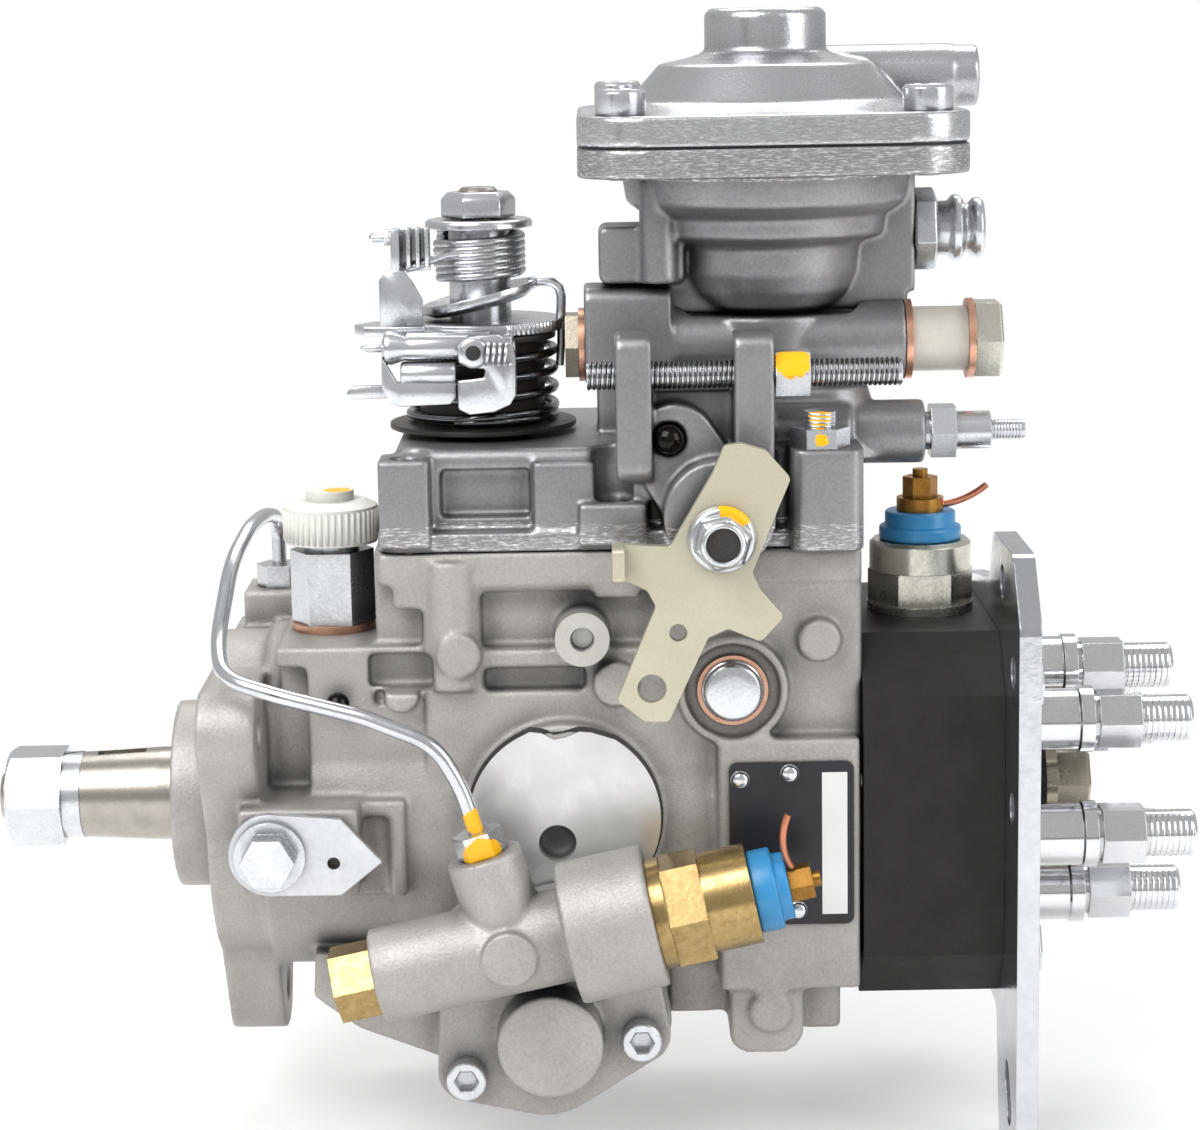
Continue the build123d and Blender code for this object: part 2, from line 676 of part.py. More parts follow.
def make_head():
    outline = chamfer(Rectangle(HEAD_W, HEAD_W).vertices(), HEAD_CHAMFER)
    head = extrude(Plane.YZ.offset(HOUSING_L) * outline, HEAD_L)
    head += rod_x(PLUG_BOSS_R, HEAD_X1 - 1.0, HEAD_X1 + PLUG_BOSS_L)
    head -= rod_x(PLUNGER_R + RUN_FIT, HOUSING_L - 1.0, HOUSING_L + 28.0)
    head -= rod_x(8.0, HOUSING_L + 28.0, HEAD_X1 + PLUG_BOSS_L + 1.0)
    for y, z in outlet_places():
        head -= rod_x(7.0, HEAD_X1 - 12.0, HEAD_X1 + 1.0, y, z)
    for y, z in head_screw_places():
        head -= rod_x(M6_R, HOUSING_L - 1.0, HEAD_X1, y, z)
        head -= rod_x(M6_HEAD_R + 0.3, HEAD_X1 - M6_HEAD_L - 1.0, HEAD_X1 + 1.0, y, z)
    for y, z in bracket_screw_places():
        head -= rod_x(4.0, HEAD_X1 - 14.0, HEAD_X1 + 1.0, y, z)
    return head - rod_z(9.0, 39.0, HEAD_W / 2 + 1.0, SHUTOFF_X, SHUTOFF_Y)


def make_outlet_holder():
    x0 = HEAD_X1 - 12.0
    x1 = HEAD_X1 + OUTLET_L
    body = turned_x(
        (x0, 6.2), (x0 + 0.8, 7.0), (HEAD_X1, 7.0), (HEAD_X1, 9.6), (HEAD_X1 + 4.0, 9.6),
        (HEAD_X1 + 5.0, 8.2), (HEAD_X1 + 22.0, 8.2), (HEAD_X1 + 22.5, 8.8), (HEAD_X1 + 26.0, 8.8),
        (HEAD_X1 + 26.0, 6.6), (x1 - 13.0, 6.6), (x1 - 13.0, OUTLET_THREAD_R), (x1 - 0.8, OUTLET_THREAD_R),
        (x1, OUTLET_THREAD_R - 0.8),
    )
    body += hex_x(OUTLET_AF, HEAD_X1 + 27.5, x1 - 13.5)
    cone = turned_x((x1 - 5.0, 1.5), (x1 + 0.01, 4.2))
    return body - cone - rod_x(1.5, x1 - 30.0, x1) - rod_x(3.6, x0 - 1.0, x0 + 26.0)


def make_head_plug():
    x1 = HEAD_X1 + PLUG_BOSS_L
    plug = rod_x(8.0, x1 - 12.0, x1) + rod_x(9.6, x1, x1 + 3.5) + hex_x(16.0, x1 + 3.5, x1 + 12.5)
    return chamfer(plug.faces().sort_by(Axis.X)[-1].edges(), 0.8)


def make_head_screws():
    screw = socket_screw(M6_HEAD_R, M6_HEAD_L, M6_R, HEAD_L - M6_HEAD_L + 9.0)
    return [Pos(HEAD_X1 - M6_HEAD_L - 1.0, y, z) * towards_rear(screw) for y, z in head_screw_places()]


def make_bracket():
    outline = Polyline(
        (-BRACKET_NEAR, 56.0), (-BRACKET_NEAR + 14.0, BRACKET_TOP), (-22.0, BRACKET_TOP), (-14.0, 58.0),
        (40.0, 50.0), (48.0, 42.0), (46.0, -12.0), (12.0, -52.0), (-34.0, -52.0), (-40.0, -BRACKET_BOTTOM),
        (-64.0, -BRACKET_BOTTOM), (-BRACKET_NEAR, -BRACKET_BOTTOM + 10.0), close=True,
    )
    sketch = make_face(outline)
    sketch = fillet(sketch.vertices(), 5.0)
    sketch -= Circle(BRACKET_BORE_R)
    for y, z in bracket_screw_places():
        sketch -= Pos(y, z) * Circle(4.3)
    for y, z in ((-61.0, 43.0), (-61.0, 8.0), (-40.0, 62.0)):
        sketch -= Pos(y, z) * Circle(4.3)
    sketch -= Pos(-57.0, -68.0) * Rot(0, 0, 60) * SlotOverall(17.0, 9.0)
    return extrude(Plane.YZ.offset(HEAD_X1) * sketch, BRACKET_T)


def hex_bolt_x(af, head_t, r, length, x, y, z):
    head = hex_x(af, x, x + head_t, y, z)
    head = chamfer(head.faces().sort_by(Axis.X)[-1].edges(), 0.6)
    return head + rod_x(r, x - length, x, y, z)


def make_bracket_screws():
    x = HEAD_X1 + BRACKET_T
    return [hex_bolt_x(13.0, 5.3, 4.0, BRACKET_T + 13.0, x, y, z) for y, z in bracket_screw_places()]


# Governor cover

def cover_screw_places():
    return [(TOP_X0 + 8.0, -40.5), (HOUSING_L - 62.0, -40.5), (TOP_X0 + 8.0, 40.5), (HOUSING_L - 8.0, 40.5)]


def make_cover():
    x1 = HOUSING_L
    z0 = HOUSING_TOP
    cover = block(TOP_X0, x1, -SIDE_Y - 1.0, SIDE_Y + 1.0, z0, z0 + COVER_FLANGE_T)
    cover = fillet(cover.edges().filter_by(Axis.Z), 5.0)
    body = block(TOP_X0 + 4.0, x1 - 1.0, -SIDE_Y + 4.0, SIDE_Y - 4.0, z0 + 1.0, COVER_TOP)
    body = fillet(body.edges().filter_by(Axis.Z), 9.0)
    body = fillet(body.faces().sort_by(Axis.Z)[-1].edges(), 3.0)
    cover += body
    cover += loft([Plane.XY.offset(COVER_TOP - 6.0) * Pos(BOOST_X, 0) * RectangleRounded(60, 62, 12),
                   Plane.XY.offset(COVER_TOP + 12.0) * Pos(BOOST_X, 0) * RectangleRounded(50, 50, 12)])
    cover += rod_z(20.0, COVER_TOP + 10.0, PEDESTAL_TOP, BOOST_X, 0)
    cover += rod_x(ARM_R, BOOST_X - 48.0, BOOST_X + ARM_L, ARM_Y, ARM_Z)
    arm_end = block(BOOST_X - 48.0, BOOST_X - 25.5, ARM_Y - ARM_R, ARM_Y + ARM_R, ARM_Z - 9.0, PEDESTAL_TOP + 8.0)
    cover += fillet(arm_end.edges().filter_by(Axis.X), 4.0)
    cover += block(BOOST_X - 45.0, BOOST_X - 27.0, ARM_Y - 8.0, ARM_Y + 8.0, COVER_TOP - 4.0, ARM_Z)
    for x0, x2 in ((STOP_X - 25.5, STOP_X - 16.5), (STOP_X + 4.0, STOP_X + 14.0)):
        ear = block(x0, x2, -50.0, -34.0, COVER_TOP - 8.0, 127.0)
        cover += fillet(ear.edges().filter_by(Axis.X), 4.0)
    cover += block(STOP_X - 17.0, STOP_X + 6.0, -40.0, -34.0, COVER_TOP - 8.0, 112.0)
    tower = block(x1 - 18.2, x1, -53.0, -30.0, z0, COVER_TOP)
    cover += fillet(tower.edges().filter_by(Axis.Z), 4.0)
    cover += rod_y(14.0, -54.0, -30.0, STOP_X, STOP_Z + 4.0) & block(STOP_X - 20.0, STOP_X + 20.0, -60.0, 0.0, z0, 120.0)
    cover += block(85.5, 103.0, -SIDE_Y, -30.0, z0 + 1.0, COVER_TOP - 3.0)
    cover += block(102.0, 114.3, -SIDE_Y - 0.5, -30.0, z0 + 1.0, 83.0)
    cover += block(108.5, 114.3, -SIDE_Y - 0.5, -30.0, z0 + 1.0, COVER_TOP)
    lobe = make_hull((Pos(STOP_X - 11.0, 98.3) * Circle(11.0) + Pos(STOP_X, STOP_Z + 3.0) * Circle(12.0)).edges())
    cover += extrude(Plane.XZ.offset(30.0) * lobe, 16.5) & block(100.0, STOP_X + 28.0, -60.0, 0.0, z0, 120.0)
    cover += rod_x(6.9, x1 - 23.0, x1 - 1.5, -29.5, 99.8)
    cover += rod_x(8.2, x1 - 2.0, x1 + FULL_HOUSING_L, FULL_Y, FULL_Z)
    cover += rod_z(12.0, COVER_TOP - 2.0, COVER_TOP + 1.0, THROTTLE_X, THROTTLE_Y)
    cover -= block(62.0, 84.8, -SIDE_Y, -SIDE_Y + 9.0, 80.5, 92.8)
    cover -= rod_y(BALL_PLUG_R + 0.5, -48.0, -43.0, STOP_X - 12.3, 100.7)
    cover -= block(TOP_X0 + 10.0, x1 - 12.0, -SIDE_Y + 12.0, SIDE_Y - 12.0, z0 - 1.0, COVER_TOP - COVER_WALL)
    cover -= rod_z(25.5, PEDESTAL_TOP, PEDESTAL_TOP + 12.0, BOOST_X, 0)
    cover -= rod_z(THROTTLE_SHAFT_R + RUN_FIT, z0, COVER_TOP + 2.0, THROTTLE_X, THROTTLE_Y)
    cover -= rod_z(5.0 + RUN_FIT, z0, PEDESTAL_TOP + 1.0, BOOST_X, 0)
    cover -= rod_y(STOP_SHAFT_R + RUN_FIT, -55.0, -30.0, STOP_X, STOP_Z)
    cover -= rod_x(5.0, BOOST_X + ARM_L - 17.0, BOOST_X + ARM_L + 1.0, ARM_Y, ARM_Z)
    cover -= rod_x(6.0, BOOST_X - 49.0, BOOST_X - 35.0, ARM_Y, ARM_Z)
    cover -= rod_x(5.0, x1 - 13.0, x1 + FULL_HOUSING_L + 1.0, FULL_Y, FULL_Z)
    cover -= rod_z(4.0, z0, COVER_TOP + 1.0, STUD_X, STUD_Y)
    cover -= rod_x(3.25, STOP_X - 26.0, STOP_X + 15.0, SPEED_Y, SPEED_Z)
    for x, y in cover_screw_places():
        cover -= rod_z(M6_R, z0 - 1.0, z0 + COVER_FLANGE_T + 1.0, x, y)
        cover -= rod_z(M6_HEAD_R + 0.8, z0 + COVER_FLANGE_T, COVER_TOP + 1.0, x, y)
    return cover


def make_full_load_screw():
    x0 = HOUSING_L + FULL_HOUSING_L
    screw = rod_x(4.9, HOUSING_L - 10.0, x0 + 17.0, FULL_Y, FULL_Z)
    screw += hex_x(13.0, x0 + 1.5, x0 + 8.0, FULL_Y, FULL_Z)
    return screw + rod_x(2.4, x0 + 17.0, x0 + 26.0, FULL_Y, FULL_Z)


def make_ball_plug():
    return Pos(STOP_X - 12.3, -43.0 - BALL_PLUG_R, 100.7) * Sphere(BALL_PLUG_R)


def make_speed_screw():
    screw = rod_x(3.2, STOP_X - 32.5, STOP_X + 46.0, SPEED_Y, SPEED_Z)
    return screw + hex_x(11.0, STOP_X + 14.3, STOP_X + 23.0, SPEED_Y, SPEED_Z)


def make_cover_stud():
    stud = rod_z(4.0, COVER_TOP - 14.0, COVER_TOP + 9.0, STUD_X, STUD_Y)
    return stud + hex_z(13.0, COVER_TOP, COVER_TOP + 5.0, STUD_X, STUD_Y)


# Boost unit

def boost_screw_places():
    return [(BOOST_X + sx * BOOST_SCREW, sy * BOOST_SCREW) for sx in (-1, 1) for sy in (-1, 1)]


def boost_plate(z0, t):
    outline = Pos(BOOST_X, 0) * RectangleRounded(BOOST_W, BOOST_W, BOOST_CORNER)
    return extrude(Plane.XY.offset(z0) * outline, t)


def make_boost_housing():
    z1 = BOOST_SPLIT
    body = boost_plate(z1 - BOOST_LOWER_T, BOOST_LOWER_T)
    body += turned_z(BOOST_X, 0, (14.0, PEDESTAL_TOP), (19.0, 130.0), (22.5, 134.0), (24.5, 139.0), (25.0, 145.5),
                     (26.5, 147.0), (31.0, 148.5), (31.5, 153.5), (34.0, 155.0), (36.5, 157.0), (37.5, z1 - 9.0),
                     (37.5, z1 - 1.0))
    lug = block(BOOST_X - 44.0, BOOST_X - 22.0, -18.0, 2.0, PEDESTAL_TOP + 9.0, 151.5)
    body += fillet(lug.edges().filter_by(Axis.Y), 2.0)
    body += rod_z(5.0, PEDESTAL_TOP + 9.0, 163.0, BOOST_X - 28.5, -17.0)
    body += block(BOOST_X + 21.0, VENT_X, -9.0, 9.0, 133.0, z1 - 1.0)
    body -= turned_z(BOOST_X, 0, (16.0, 141.0), (16.0, 148.0), (27.0, 153.0), (33.0, z1 + 1.0))
    body -= rod_z(5.0 + RUN_FIT, PEDESTAL_TOP - 1.0, 150.0, BOOST_X, 0)
    body -= rod_x(4.0, VENT_X - 20.0, VENT_X + 1.0, 0.0, VENT_Z)
    for x, y in boost_screw_places():
        body -= rod_z(M6_R, z1 - BOOST_LOWER_T - 1.0, z1 + 1.0, x, y)
    return body


def make_diaphragm():
    sheet = boost_plate(BOOST_SPLIT, DIAPHRAGM_T) - rod_z(27.0, BOOST_SPLIT - 1, BOOST_SPLIT + 3, BOOST_X, 0)
    for x, y in boost_screw_places():
        sheet -= rod_z(M6_R, BOOST_SPLIT - 1.0, BOOST_SPLIT + 3.0, x, y)
    return sheet


def make_boost_rod():
    z1 = BOOST_SPLIT
    return turned_z(BOOST_X, 0, (2.0, 100.0), (5.0, 112.0), (5.0, z1 - 4.0), (24.0, z1 - 4.0), (26.0, z1 - 1.0),
                    (26.0, z1 + 1.0), (5.0, z1 + 1.0), (5.0, z1 + 5.0))


def make_boost_spring():
    return Pos(BOOST_X, 0, 142.2) * spring(9.0, 2.0, BOOST_SPLIT - 4.0 - 142.2 - 1.2, 5)


def make_boost_cover():
    z0 = BOOST_SPLIT + DIAPHRAGM_T
    top = z0 + BOOST_UPPER_T
    body = boost_plate(z0, BOOST_UPPER_T)
    body += turned_z(BOOST_X, 0, (44.0, z0 + 1.0), (44.0, top), (36.0, top + 2.0), (27.5, top + 11.5), (20.0, top + 13.0),
                     (BOOST_CAP_R, top + 14.5), (BOOST_CAP_R, BOOST_TOP - 1.5), (BOOST_CAP_R - 1.5, BOOST_TOP))
    plate_x1 = BOOST_X + BOOST_W / 2
    body += rod_x(PORT_R + 0.5, BOOST_X + 10.0, plate_x1 + 0.5, PORT_Y, PORT_Z)
    body += rod_x(PORT_R, plate_x1, plate_x1 + 7.5, PORT_Y, PORT_Z)
    body -= turned_z(BOOST_X, 0, (33.0, z0 - 1.0), (33.0, top), (24.0, top + 7.0))
    body -= rod_x(4.5, BOOST_X + 22.0, plate_x1 + 8.5, PORT_Y, PORT_Z)
    for x, y in boost_screw_places():
        body -= rod_z(M6_R, z0 - 1.0, top + 1.0, x, y)
    return body


def make_vent():
    x0 = VENT_X
    vent = hex_x(19.0, x0, x0 + 6.0, 0.0, VENT_Z) + rod_x(4.0, x0 - 12.0, x0, 0.0, VENT_Z)
    vent += turned_x((x0 + 6.0, 6.0), (x0 + 9.0, 8.7), (x0 + 10.0, 7.0), (x0 + 13.0, 8.7), (x0 + 14.0, 7.0),
                     (x0 + 18.5, 8.0)).moved(Location((0, 0, VENT_Z)))
    return vent - rod_x(2.5, x0 - 13.0, x0 + 19.0, 0.0, VENT_Z)


def make_overflow_bolt():
    return hex_bolt_x(19.0, 7.0, 5.0, 26.0, BOOST_X + ARM_L + SPACER_L + 2 * COPPER_T, ARM_Y, ARM_Z)


def make_overflow_spacer():
    x0 = BOOST_X + ARM_L + COPPER_T
    return rod_x(8.4, x0, x0 + SPACER_L, ARM_Y, ARM_Z) - rod_x(5.0, x0 - 1.0, x0 + SPACER_L + 1.0, ARM_Y, ARM_Z)


def make_arm_plug():
    x1 = BOOST_X - 49.5
    return hex_x(16.0, x1 - 3.5, x1, ARM_Y, ARM_Z) + rod_x(6.0, x1, x1 + 13.5, ARM_Y, ARM_Z)


def washer_x(r_out, r_in, x0, x1, y, z):
    return rod_x(r_out, x0, x1, y, z) - rod_x(r_in, x0 - 1.0, x1 + 1.0, y, z)


def make_copper_washers():
    starts = (BOOST_X + ARM_L, BOOST_X + ARM_L + COPPER_T + SPACER_L)
    washers = [washer_x(10.4, 5.0, x0, x0 + COPPER_T, ARM_Y, ARM_Z) for x0 in starts]
    washers.append(washer_x(9.5, 6.0, BOOST_X - 49.5, BOOST_X - 48.0, ARM_Y, ARM_Z))
    inlet = rod_z(10.8, SHELF_TOP, SHELF_TOP + 2.0, INLET_X, INLET_Y)
    washers.append(inlet - rod_z(7.0, SHELF_TOP - 1, SHELF_TOP + 3, INLET_X, INLET_Y))
    plug = rod_y(9.0, -PAD_Y + 1.5, -PAD_Y + 3.0, 135.0, 36.5)
    washers.append(plug - rod_y(6.0, -PAD_Y, -PAD_Y + 4.0, 135.0, 36.5))
    return washers


# Screws of the same M6 socket kind

def make_m6_screws():
    screws = []
    short = socket_screw(M6_HEAD_R, M6_HEAD_L, M6_R, 16.0)
    top = BOOST_SPLIT + DIAPHRAGM_T + BOOST_UPPER_T
    screws += [Pos(x, y, top) * short for x, y in boost_screw_places()]
    screws += [Pos(x, y, HOUSING_TOP + COVER_FLANGE_T) * short for x, y in cover_screw_places()]
    screws += [Pos(x, -COVER_Y1, z) * towards_near(short) for x, z in COLD_SCREWS]
    return screws


# Throttle lever

def make_throttle_shaft():
    shaft = rod_z(THROTTLE_SHAFT_R, HOUSING_TOP + 4.0, 161.5, THROTTLE_X, THROTTLE_Y)
    return chamfer(shaft.faces().sort_by(Axis.Z)[-1].edges(), 0.8)


def make_throttle_drum():
    z0 = COVER_TOP + 1.0 + GAP
    drum = turned_z(THROTTLE_X, THROTTLE_Y, (THROTTLE_BASE_R, z0), (THROTTLE_BASE_R, z0 + 1.5), (16.6, z0 + 1.5),
                    (16.6, 122.0), (19.5, 122.0), (19.5, 124.0))
    return drum - rod_z(THROTTLE_SHAFT_R, z0 - 1, 125.0, THROTTLE_X, THROTTLE_Y)


def make_throttle_lever():
    centre = Pos(THROTTLE_X, THROTTLE_Y)
    lower = Circle(20.0) + Pos(-16.0, -6.0) * Rot(0, 0, 20) * Rectangle(32.0, 16.0)
    upper = Circle(13.5) + Pos(12.0, -3.0) * Rectangle(18.0, 13.0) + Pos(-14.0, -8.0) * Rectangle(24.0, 12.0)
    lower = extrude(Plane.XY.offset(124.0) * centre * lower, 3.0)
    upper = extrude(Plane.XY.offset(132.0) * centre * upper, 3.0)
    spacer = rod_z(8.0, 127.0, 132.0, THROTTLE_X, THROTTLE_Y)
    tab = block(47.5, 60.0, -20.0, -17.0, 126.0, 152.0)
    arm = fillet(block(62.0, 77.5, -34.5, -25.2, 104.0, 124.0).edges().filter_by(Axis.Y), 2.0)
    arm -= rod_y(2.6, -36.0, -30.0, 69.0, 118.5)
    arm += rod_x(5.2, 41.0, 66.0, -30.0, 118.5) + rod_x(1.6, 36.5, 42.0, -30.0, 118.5)
    arm += block(45.5, 63.0, -33.5, -26.5, 104.0, 116.0) + rod_x(2.2, 37.0, 46.0, -30.0, 107.5)
    arm += block(56.0, 74.0, -33.0, -14.0, 122.2, 127.0)
    lever = lower + upper + spacer + tab + arm
    return lever - rod_z(THROTTLE_SHAFT_R, 120.0, 160.0, THROTTLE_X, THROTTLE_Y)


def make_lower_spring():
    z0 = COVER_TOP + 1.0 + GAP + 1.6 + LOWER_WIRE / 2
    coil = spring(LOWER_COIL_R, LOWER_WIRE, 122.0 - LOWER_WIRE / 2 - 0.2 - z0, 5)
    return Pos(THROTTLE_X, THROTTLE_Y, z0) * coil


def make_upper_spring():
    z0 = 135.0 + UPPER_WIRE / 2 + 0.1
    coil = spring(UPPER_COIL_R, UPPER_WIRE, 151.0 - UPPER_WIRE / 2 - 0.1 - z0, 5)
    return Pos(THROTTLE_X, THROTTLE_Y, z0) * coil


def make_throttle_nut():
    nut = rod_z(14.3, 151.0, 153.5, THROTTLE_X, THROTTLE_Y) + hex_z(15.0, 153.5, 160.0, THROTTLE_X, THROTTLE_Y)
    return nut + rod_z(7.5, 135.2, 151.0, THROTTLE_X, THROTTLE_Y) - rod_z(
        THROTTLE_SHAFT_R, 135.0, 162.0, THROTTLE_X, THROTTLE_Y)


# Stop lever

def make_stop_lever():
    outline = Pos(STOP_X, STOP_Z) * make_face(Polyline(*STOP_OUTLINE, close=True))
    sketch = fillet(outline.vertices(), 1.6)
    sketch -= Pos(STOP_X - 11.0, STOP_Z - 23.2) * Circle(2.2)
    sketch -= Pos(STOP_X - 17.7, STOP_Z - 37.2) * Circle(3.6)
    sketch -= Pos(STOP_X, STOP_Z) * Circle(STOP_SHAFT_R)
    plate = extrude(Plane.XZ.offset(-STOP_Y) * sketch, STOP_PLATE_T)
    y1 = STOP_Y
    tab = block(STOP_X - 27.0, STOP_X - 24.0, y1 - 10.0, y1, STOP_Z - 9.5, STOP_Z - 0.8)
    return plate + fillet(tab.edges().filter_by(Axis.X), 1.5)


def make_stop_shaft():
    shaft = rod_y(STOP_SHAFT_R, STOP_Y - STOP_PLATE_T - 8.0, -32.0, STOP_X, STOP_Z)
    return shaft + rod_y(8.5, STOP_Y, -54.3, STOP_X, STOP_Z)


def make_stop_nut():
    y1 = STOP_Y - STOP_PLATE_T
    nut = hex_y(13.0, y1 - 6.0, y1, STOP_X, STOP_Z)
    return nut - rod_y(STOP_SHAFT_R, y1 - 7.0, y1 + 1.0, STOP_X, STOP_Z)


# Shut-off solenoid

def make_shutoff():
    z0 = HEAD_W / 2
    body = turned_z(SHUTOFF_X, SHUTOFF_Y, (9.0, 40.0), (9.0, z0), (14.0, z0), (14.0, z0 + 2.5))
    body += hex_z(24.0, z0 + 2.0, z0 + 11.0, SHUTOFF_X, SHUTOFF_Y)
    body += turned_z(SHUTOFF_X, SHUTOFF_Y, (13.4, z0 + 11.0), (13.4, z0 + 18.0), (12.4, z0 + 19.0))
    return body - rod_z(5.0, 39.0, z0 + 13.0, SHUTOFF_X, SHUTOFF_Y)


def make_shutoff_armature():
    return rod_z(5.0 - RUN_FIT, 41.5, HEAD_W / 2 + 8.0, SHUTOFF_X, SHUTOFF_Y)


def make_shutoff_insulator():
    z0 = HEAD_W / 2 + 19.0
    return turned_z(SHUTOFF_X, SHUTOFF_Y, (10.8, z0), (10.8, z0 + 3.6), (9.3, z0 + 3.6), (9.3, z0 + 7.5))


def make_shutoff_terminal():
    z0 = HEAD_W / 2 + 26.5
    nut = rod_z(6.2, z0, z0 + 3.5, SHUTOFF_X, SHUTOFF_Y) + hex_z(8.0, z0 + 3.5, z0 + 9.0, SHUTOFF_X, SHUTOFF_Y)
    return nut + rod_z(2.0, z0 + 9.0, z0 + 11.0, SHUTOFF_X, SHUTOFF_Y)


# Cold-start unit on the timing cover

def tilted(shape):
    return Pos(COLD_X, COLD_Y, COLD_Z) * Rot(0, -COLD_TILT, 0) * shape


def line_start_plane():
    first = Vector(*LINE_POINTS[0])
    return Plane(origin=first, z_dir=Vector(*LINE_POINTS[1]) - first)


def make_cold_housing():
    pads = Sketch()
    for x, z in COLD_SCREWS:
        pads += Pos(x, z) * Circle(7.5)
    pads += Pos(TIMING_X, TIMING_Z - 4.0) * Circle(18.0)
    pads += Pos(68.0, -24.0) * Circle(7.5)
    pads += Pos(104.0, -17.0) * Circle(8.0)
    plate = extrude(Plane.XZ.offset(COVER_Y0) * make_hull(pads.edges()), COVER_Y1 - COVER_Y0)
    body = plate + rod_y(13.3, -COVER_Y1 - 11.0, -COVER_Y1 + 1.0, TIMING_X + 1.5, TIMING_Z)
    body += tilted(rod_x(11.8, -35.0, 18.0) + rod_x(17.8, 14.0, 36.0))
    body += tilted(block(-30.0, 30.0, 0.0, 12.0, -9.0, 9.0))
    tower = line_start_plane()
    body += extrude(tower.offset(-LINE_NUT_L - 22.0) * Circle(9.5), 22.0)
    body -= extrude(tower.offset(-LINE_NUT_L - 6.0) * Circle(5.0), 7.0)
    for x, z in COLD_SCREWS:
        body -= rod_y(M6_R, -COVER_Y1 - 1.0, -COVER_Y0 + 1.0, x, z)
        body -= rod_y(M6_HEAD_R + 0.3, -COVER_Y1 - 30.0, -COVER_Y1, x, z)
    body -= rod_y(12.0, -COVER_Y0 - 6.0, -COVER_Y0 + 1.0, TIMING_X, TIMING_Z)
    body -= tilted(rod_x(5.0, 10.0, 37.0))
    body -= tilted(rod_x(14.3, 36.0, 64.0))
    return body


def make_cold_plug():
    return tilted(hex_x(17.0, -45.5, -35.0))


def make_cold_solenoid():
    body = rod_x(13.8, 36.0, 39.5) + hex_x(25.0, 39.5, 49.0) + rod_x(12.6, 49.0, 61.0)
    return tilted(body - rod_x(5.0, 35.0, 52.0))


def make_cold_insulator():
    return tilted(rod_x(10.3, 61.0, 67.0) + rod_x(8.4, 67.0, 70.0))


def make_cold_terminal():
    return tilted(hex_x(8.0, 70.0, 76.0) + rod_x(2.0, 76.0, 78.0))


def wire_stub(*points):
    path = Spline(*[Vector(*p) for p in points])
    return sweep(Plane(path @ 0, z_dir=path % 0) * Circle(WIRE_R), path)


def make_wire_stubs():
    z0 = HEAD_W / 2 + 26.5
    short = wire_stub((SHUTOFF_X + 5.9, SHUTOFF_Y - 1.0, z0 + 1.5), (SHUTOFF_X + 11.0, SHUTOFF_Y - 2.0, z0 + 3.0),
                      (SHUTOFF_X + 17.0, SHUTOFF_Y - 4.0, z0 + 7.0))
    low = [tilted(Pos(*p)).position for p in ((71.5, -2.5, 5.0), (70.8, -5.0, 12.0), (73.5, -5.5, 19.0))]
    return [short, wire_stub(*low)]


# Fuel line, inlet and small parts

def make_fuel_line():
    points = [Vector(*p) for p in LINE_POINTS]
    radii = []
    for before, here, after in zip(points, points[1:], points[2:]):
        turn = math.radians((here - before).get_angle(after - here))
        run = min((here - before).length, (after - here).length)
        radii.append(min(40.0, 0.45 * run / math.tan(turn / 2)))
    print("fuel line radii", [round(r, 1) for r in radii])
    path = FilletPolyline(*points, radius=radii)
    section = Plane(path @ 0, z_dir=path % 0) * Circle(LINE_R)
    pipe = sweep(section, path)
    print("fuel line", round(pipe.volume), round(math.pi * LINE_R ** 2 * path.length), round(path.length))
    return pipe


def make_line_nuts():
    last = Vector(*LINE_POINTS[-1])
    far = Plane(origin=last, z_dir=Vector(*LINE_POINTS[-2]) - last)
    nuts = []
    for plane in (line_start_plane(), far):
        nut = extrude(plane * hexagon(11.0), -LINE_NUT_L) + extrude(plane.offset(-LINE_NUT_L) * Circle(5.0), -5.0)
        nuts.append(nut)
    return nuts


def make_line_socket():
    x, y, z = LINE_POINTS[-1]
    top = z - LINE_NUT_L
    return block(x - 9.0, x + 8.0, y - 11.0, y + 11.0, top - 16.0, top) - rod_z(5.0, top - 5.0, top + 1.0, x, y)


def make_inlet():
    z0 = SHELF_TOP + 2.0
    body = hex_z(19.0, z0, z0 + 19.0, INLET_X, INLET_Y) + rod_z(7.0, SHELF_TOP - 9.0, z0, INLET_X, INLET_Y)
    return body + rod_z(7.2, z0 + 19.0, z0 + 25.0, INLET_X, INLET_Y)


def make_inlet_cap():
    z0 = SHELF_TOP + 2.0 + 21.0
    cap = turned_z(INLET_X, INLET_Y, (12.0, z0), (12.2, z0 + 9.5), (9.0, z0 + 11.0), (6.2, z0 + 11.0), (6.2, z0 + 13.5))
    return cap - rod_z(7.2, z0 - 1.0, z0 + 4.0, INLET_X, INLET_Y)


def make_lock_plate():
    round_end = Pos(LOCK_X, LOCK_Z) * Circle(10.5)
    tip = make_face(Polyline((LOCK_X, 9.5), (36.0, 8.0), (46.0, -3.2), (35.6, -11.6), (LOCK_X, -11.5), close=True))
    sketch = round_end + tip - Pos(LOCK_X, LOCK_Z) * Circle(4.0) - Pos(33.9, -3.3) * Circle(1.6)
    return extrude(Plane.XZ.offset(58.0) * sketch, 2.5)


def make_lock_bolt():
    washer = rod_y(9.0, -62.5, -60.5, LOCK_X, LOCK_Z)
    return washer + hex_y(12.0, -69.0, -62.5, LOCK_X, LOCK_Z) + rod_y(4.0, -60.5, -41.0, LOCK_X, LOCK_Z)


def make_nameplate():
    y = PAD_Y + 1.0
    outline = Pos(149.5, -3.0) * RectangleRounded(31.5, 42.5, 2.0)
    plate = extrude(Plane.XZ.offset(y) * outline, 0.8)
    for x, z in ((136.5, 14.0), (149.0, 15.5), (151.0, -20.5)):
        plate += rod_y(2.2, -y - 1.9, -y, x, z)
    return plate


